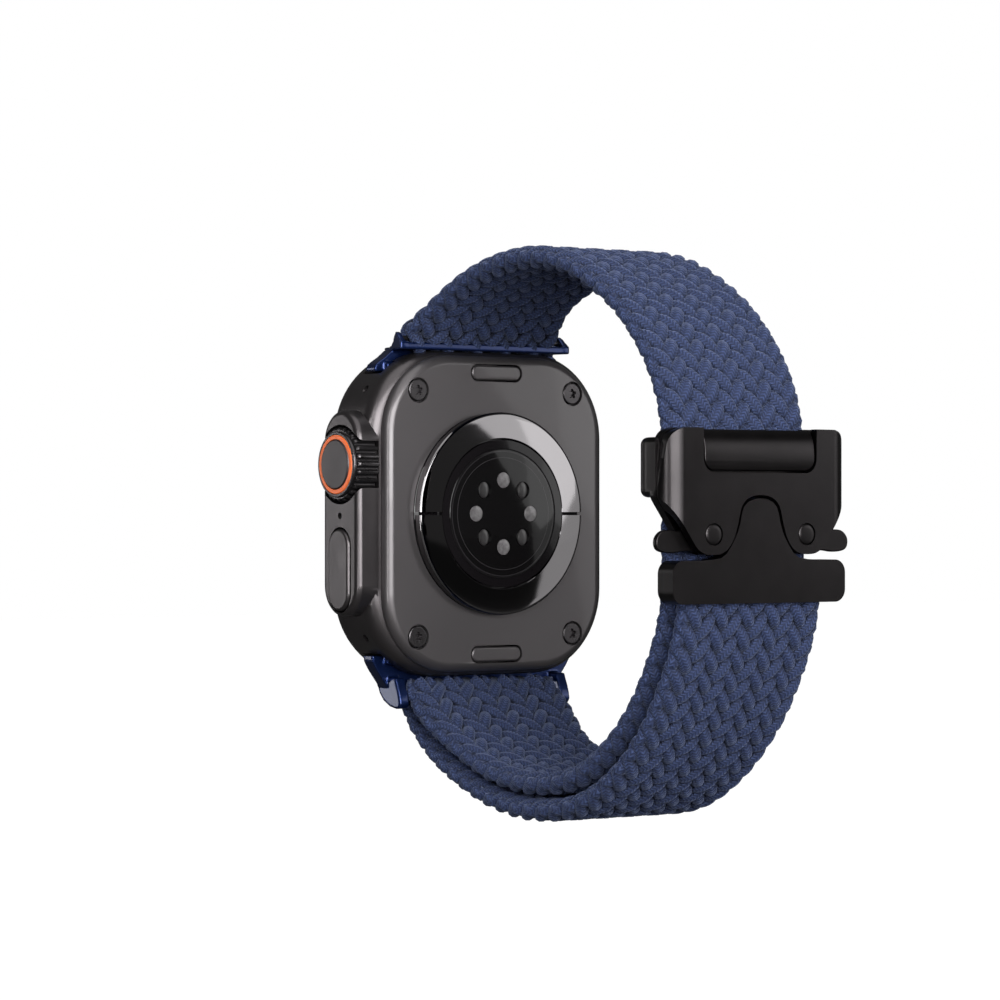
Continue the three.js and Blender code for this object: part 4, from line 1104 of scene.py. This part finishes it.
for side, sign in (("left", -1), ("right", 1)):
    rivet = turned(f"rivet_head_{side}", [
        (0, -68.56), (0.8, -68.55), (1.2, -68.53), (1.38, -68.47), (1.45, -68.38), (1.45, -68.1),
        (0.85, -68.1), (0.85, -64.6), (0, -64.6)], (sign * RIVET_X, RIVET_Z), 40)
    smooth(rivet, 40)
    dress(rivet, satin_black, "band", "black_metal", f"rivet_{side}")

# ------------------------------------------------------------------ release levers
# Two flat steel levers turn between the plates. Their rounded paddles stick out under the
# shoulders, their hooks hold the tongue's stem, and a thin leaf spring presses on each.
LEVER = [
    (16.9, -3.1), (17.15, -3.9), (16.9, -4.75), (16.1, -5.2), (14.4, -5.35), (12.6, -5.15),
    (10.6, -5.15), (8.8, -5.3), (6.9, -4.7), (5.9, -3.4), (5.7, -2.0), (5.0, -0.2), (4.5, 1.0),
    (4.6, 2.2), (5.6, 3.1), (6.8, 2.6), (7.6, 1.0), (9.0, -0.4), (10.7, -1.5), (13, -2.3),
    (14.9, -2.2), (16.1, -2.4)]
for side, sign in (("left", -1), ("right", 1)):
    lever = plate(f"lever_{side}", curved([(sign * x, z) for x, z in LEVER]), -67.05, -66.15)
    combine(lever, [drum("lever_hole", "Y", 1.1, -70, -60, (sign * RIVET_X, RIVET_Z), 32)], "DIFFERENCE")
    soften(lever, 0.2, 3)
    dress(lever, satin_black, f"release_lever_{side}", "black_metal", f"release_lever_{side}")
    finish_node(f"lever_spring_{side}", sprung_steel)

# ------------------------------------------------------------------ cam flap
# A curved steel flap swings on a pin near the buckle's top. Closed, its cam nips the strap;
# lifted, it lets the strap slide through so the length can be set.
FLAP_PROFILE = [
    (-68.2, 5.9), (-67.2, 5.9), (-67.0, 7.4), (-66.4, 8.2), (-65.3, 8.7), (-64.5, 9.5),
    (-64.75, 10.5), (-65.6, 11.2), (-66.5, 11.55), (-67.2, 11.5), (-67.6, 11.15), (-67.9, 10.7),
    (-68.12, 10.15), (-68.28, 9.5), (-68.38, 8.8), (-68.42, 8.0), (-68.42, 7.2), (-68.36, 6.5)]
flap = plate("flap_body", FLAP_PROFILE, -9.8, 9.8, "X")
face = block("flap_face", (-9.8, -72, 5.9), (9.8, -60, 20))
round_edges(face, lambda middle, way: abs(way.y) > 0.99 and middle.z < 6, 1.7, 10)
combine(flap, [face], "INTERSECT")
combine(flap, [drum("pin_hole", "X", 0.8, -20, 20, (-66.6, 9.8), 32)], "DIFFERENCE")
soften(flap, 0.18, 3, 40)
dress(flap, satin_black, "cam_flap", "black_metal", "cam_flap")
finish_node("flap_pin", dark_steel)

# ------------------------------------------------------------------ tongue
# The tail ends in a black steel tongue: a broad bar that the tail is looped into, and a short
# arched stem that clicks up into the notch between the levers.
STEM_RIGHT = [
    (10.5, -6.4), (8.5, -6.3), (6.9, -6.05), (5.9, -5.4), (5.0, -4.2), (4.45, -3.35), (4.0, -2.5),
    (3.55, -1.2), (3.3, 0.0), (2.95, 0.9), (2.2, 1.6), (1.15, 1.98)]
stem = plate("tongue_stem", mirrored([(0, 2.1)] + STEM_RIGHT[::-1] + [(10.5, -7.9)]), -68.4, -66.2)
bar = rounded_slab("tongue_bar_body", (-15.4, -68.4, -12.3), (15.4, -65.1, -6.4), 1.8, 12)
combine(bar, [stem], "UNION")
combine(
    bar,
    [block("tail_pocket", (-13.4, -67.3, -14), (13.4, -60, -8.4)),
     drum("bar_seat", "X", 0.55, -15, 15, (-65.9, -10.4), 32)],
    "DIFFERENCE")
soften(bar, 0.25, 4)
dress(bar, satin_black, "tail", "black_metal", "tongue")
finish_node("tongue_bar", dark_steel)
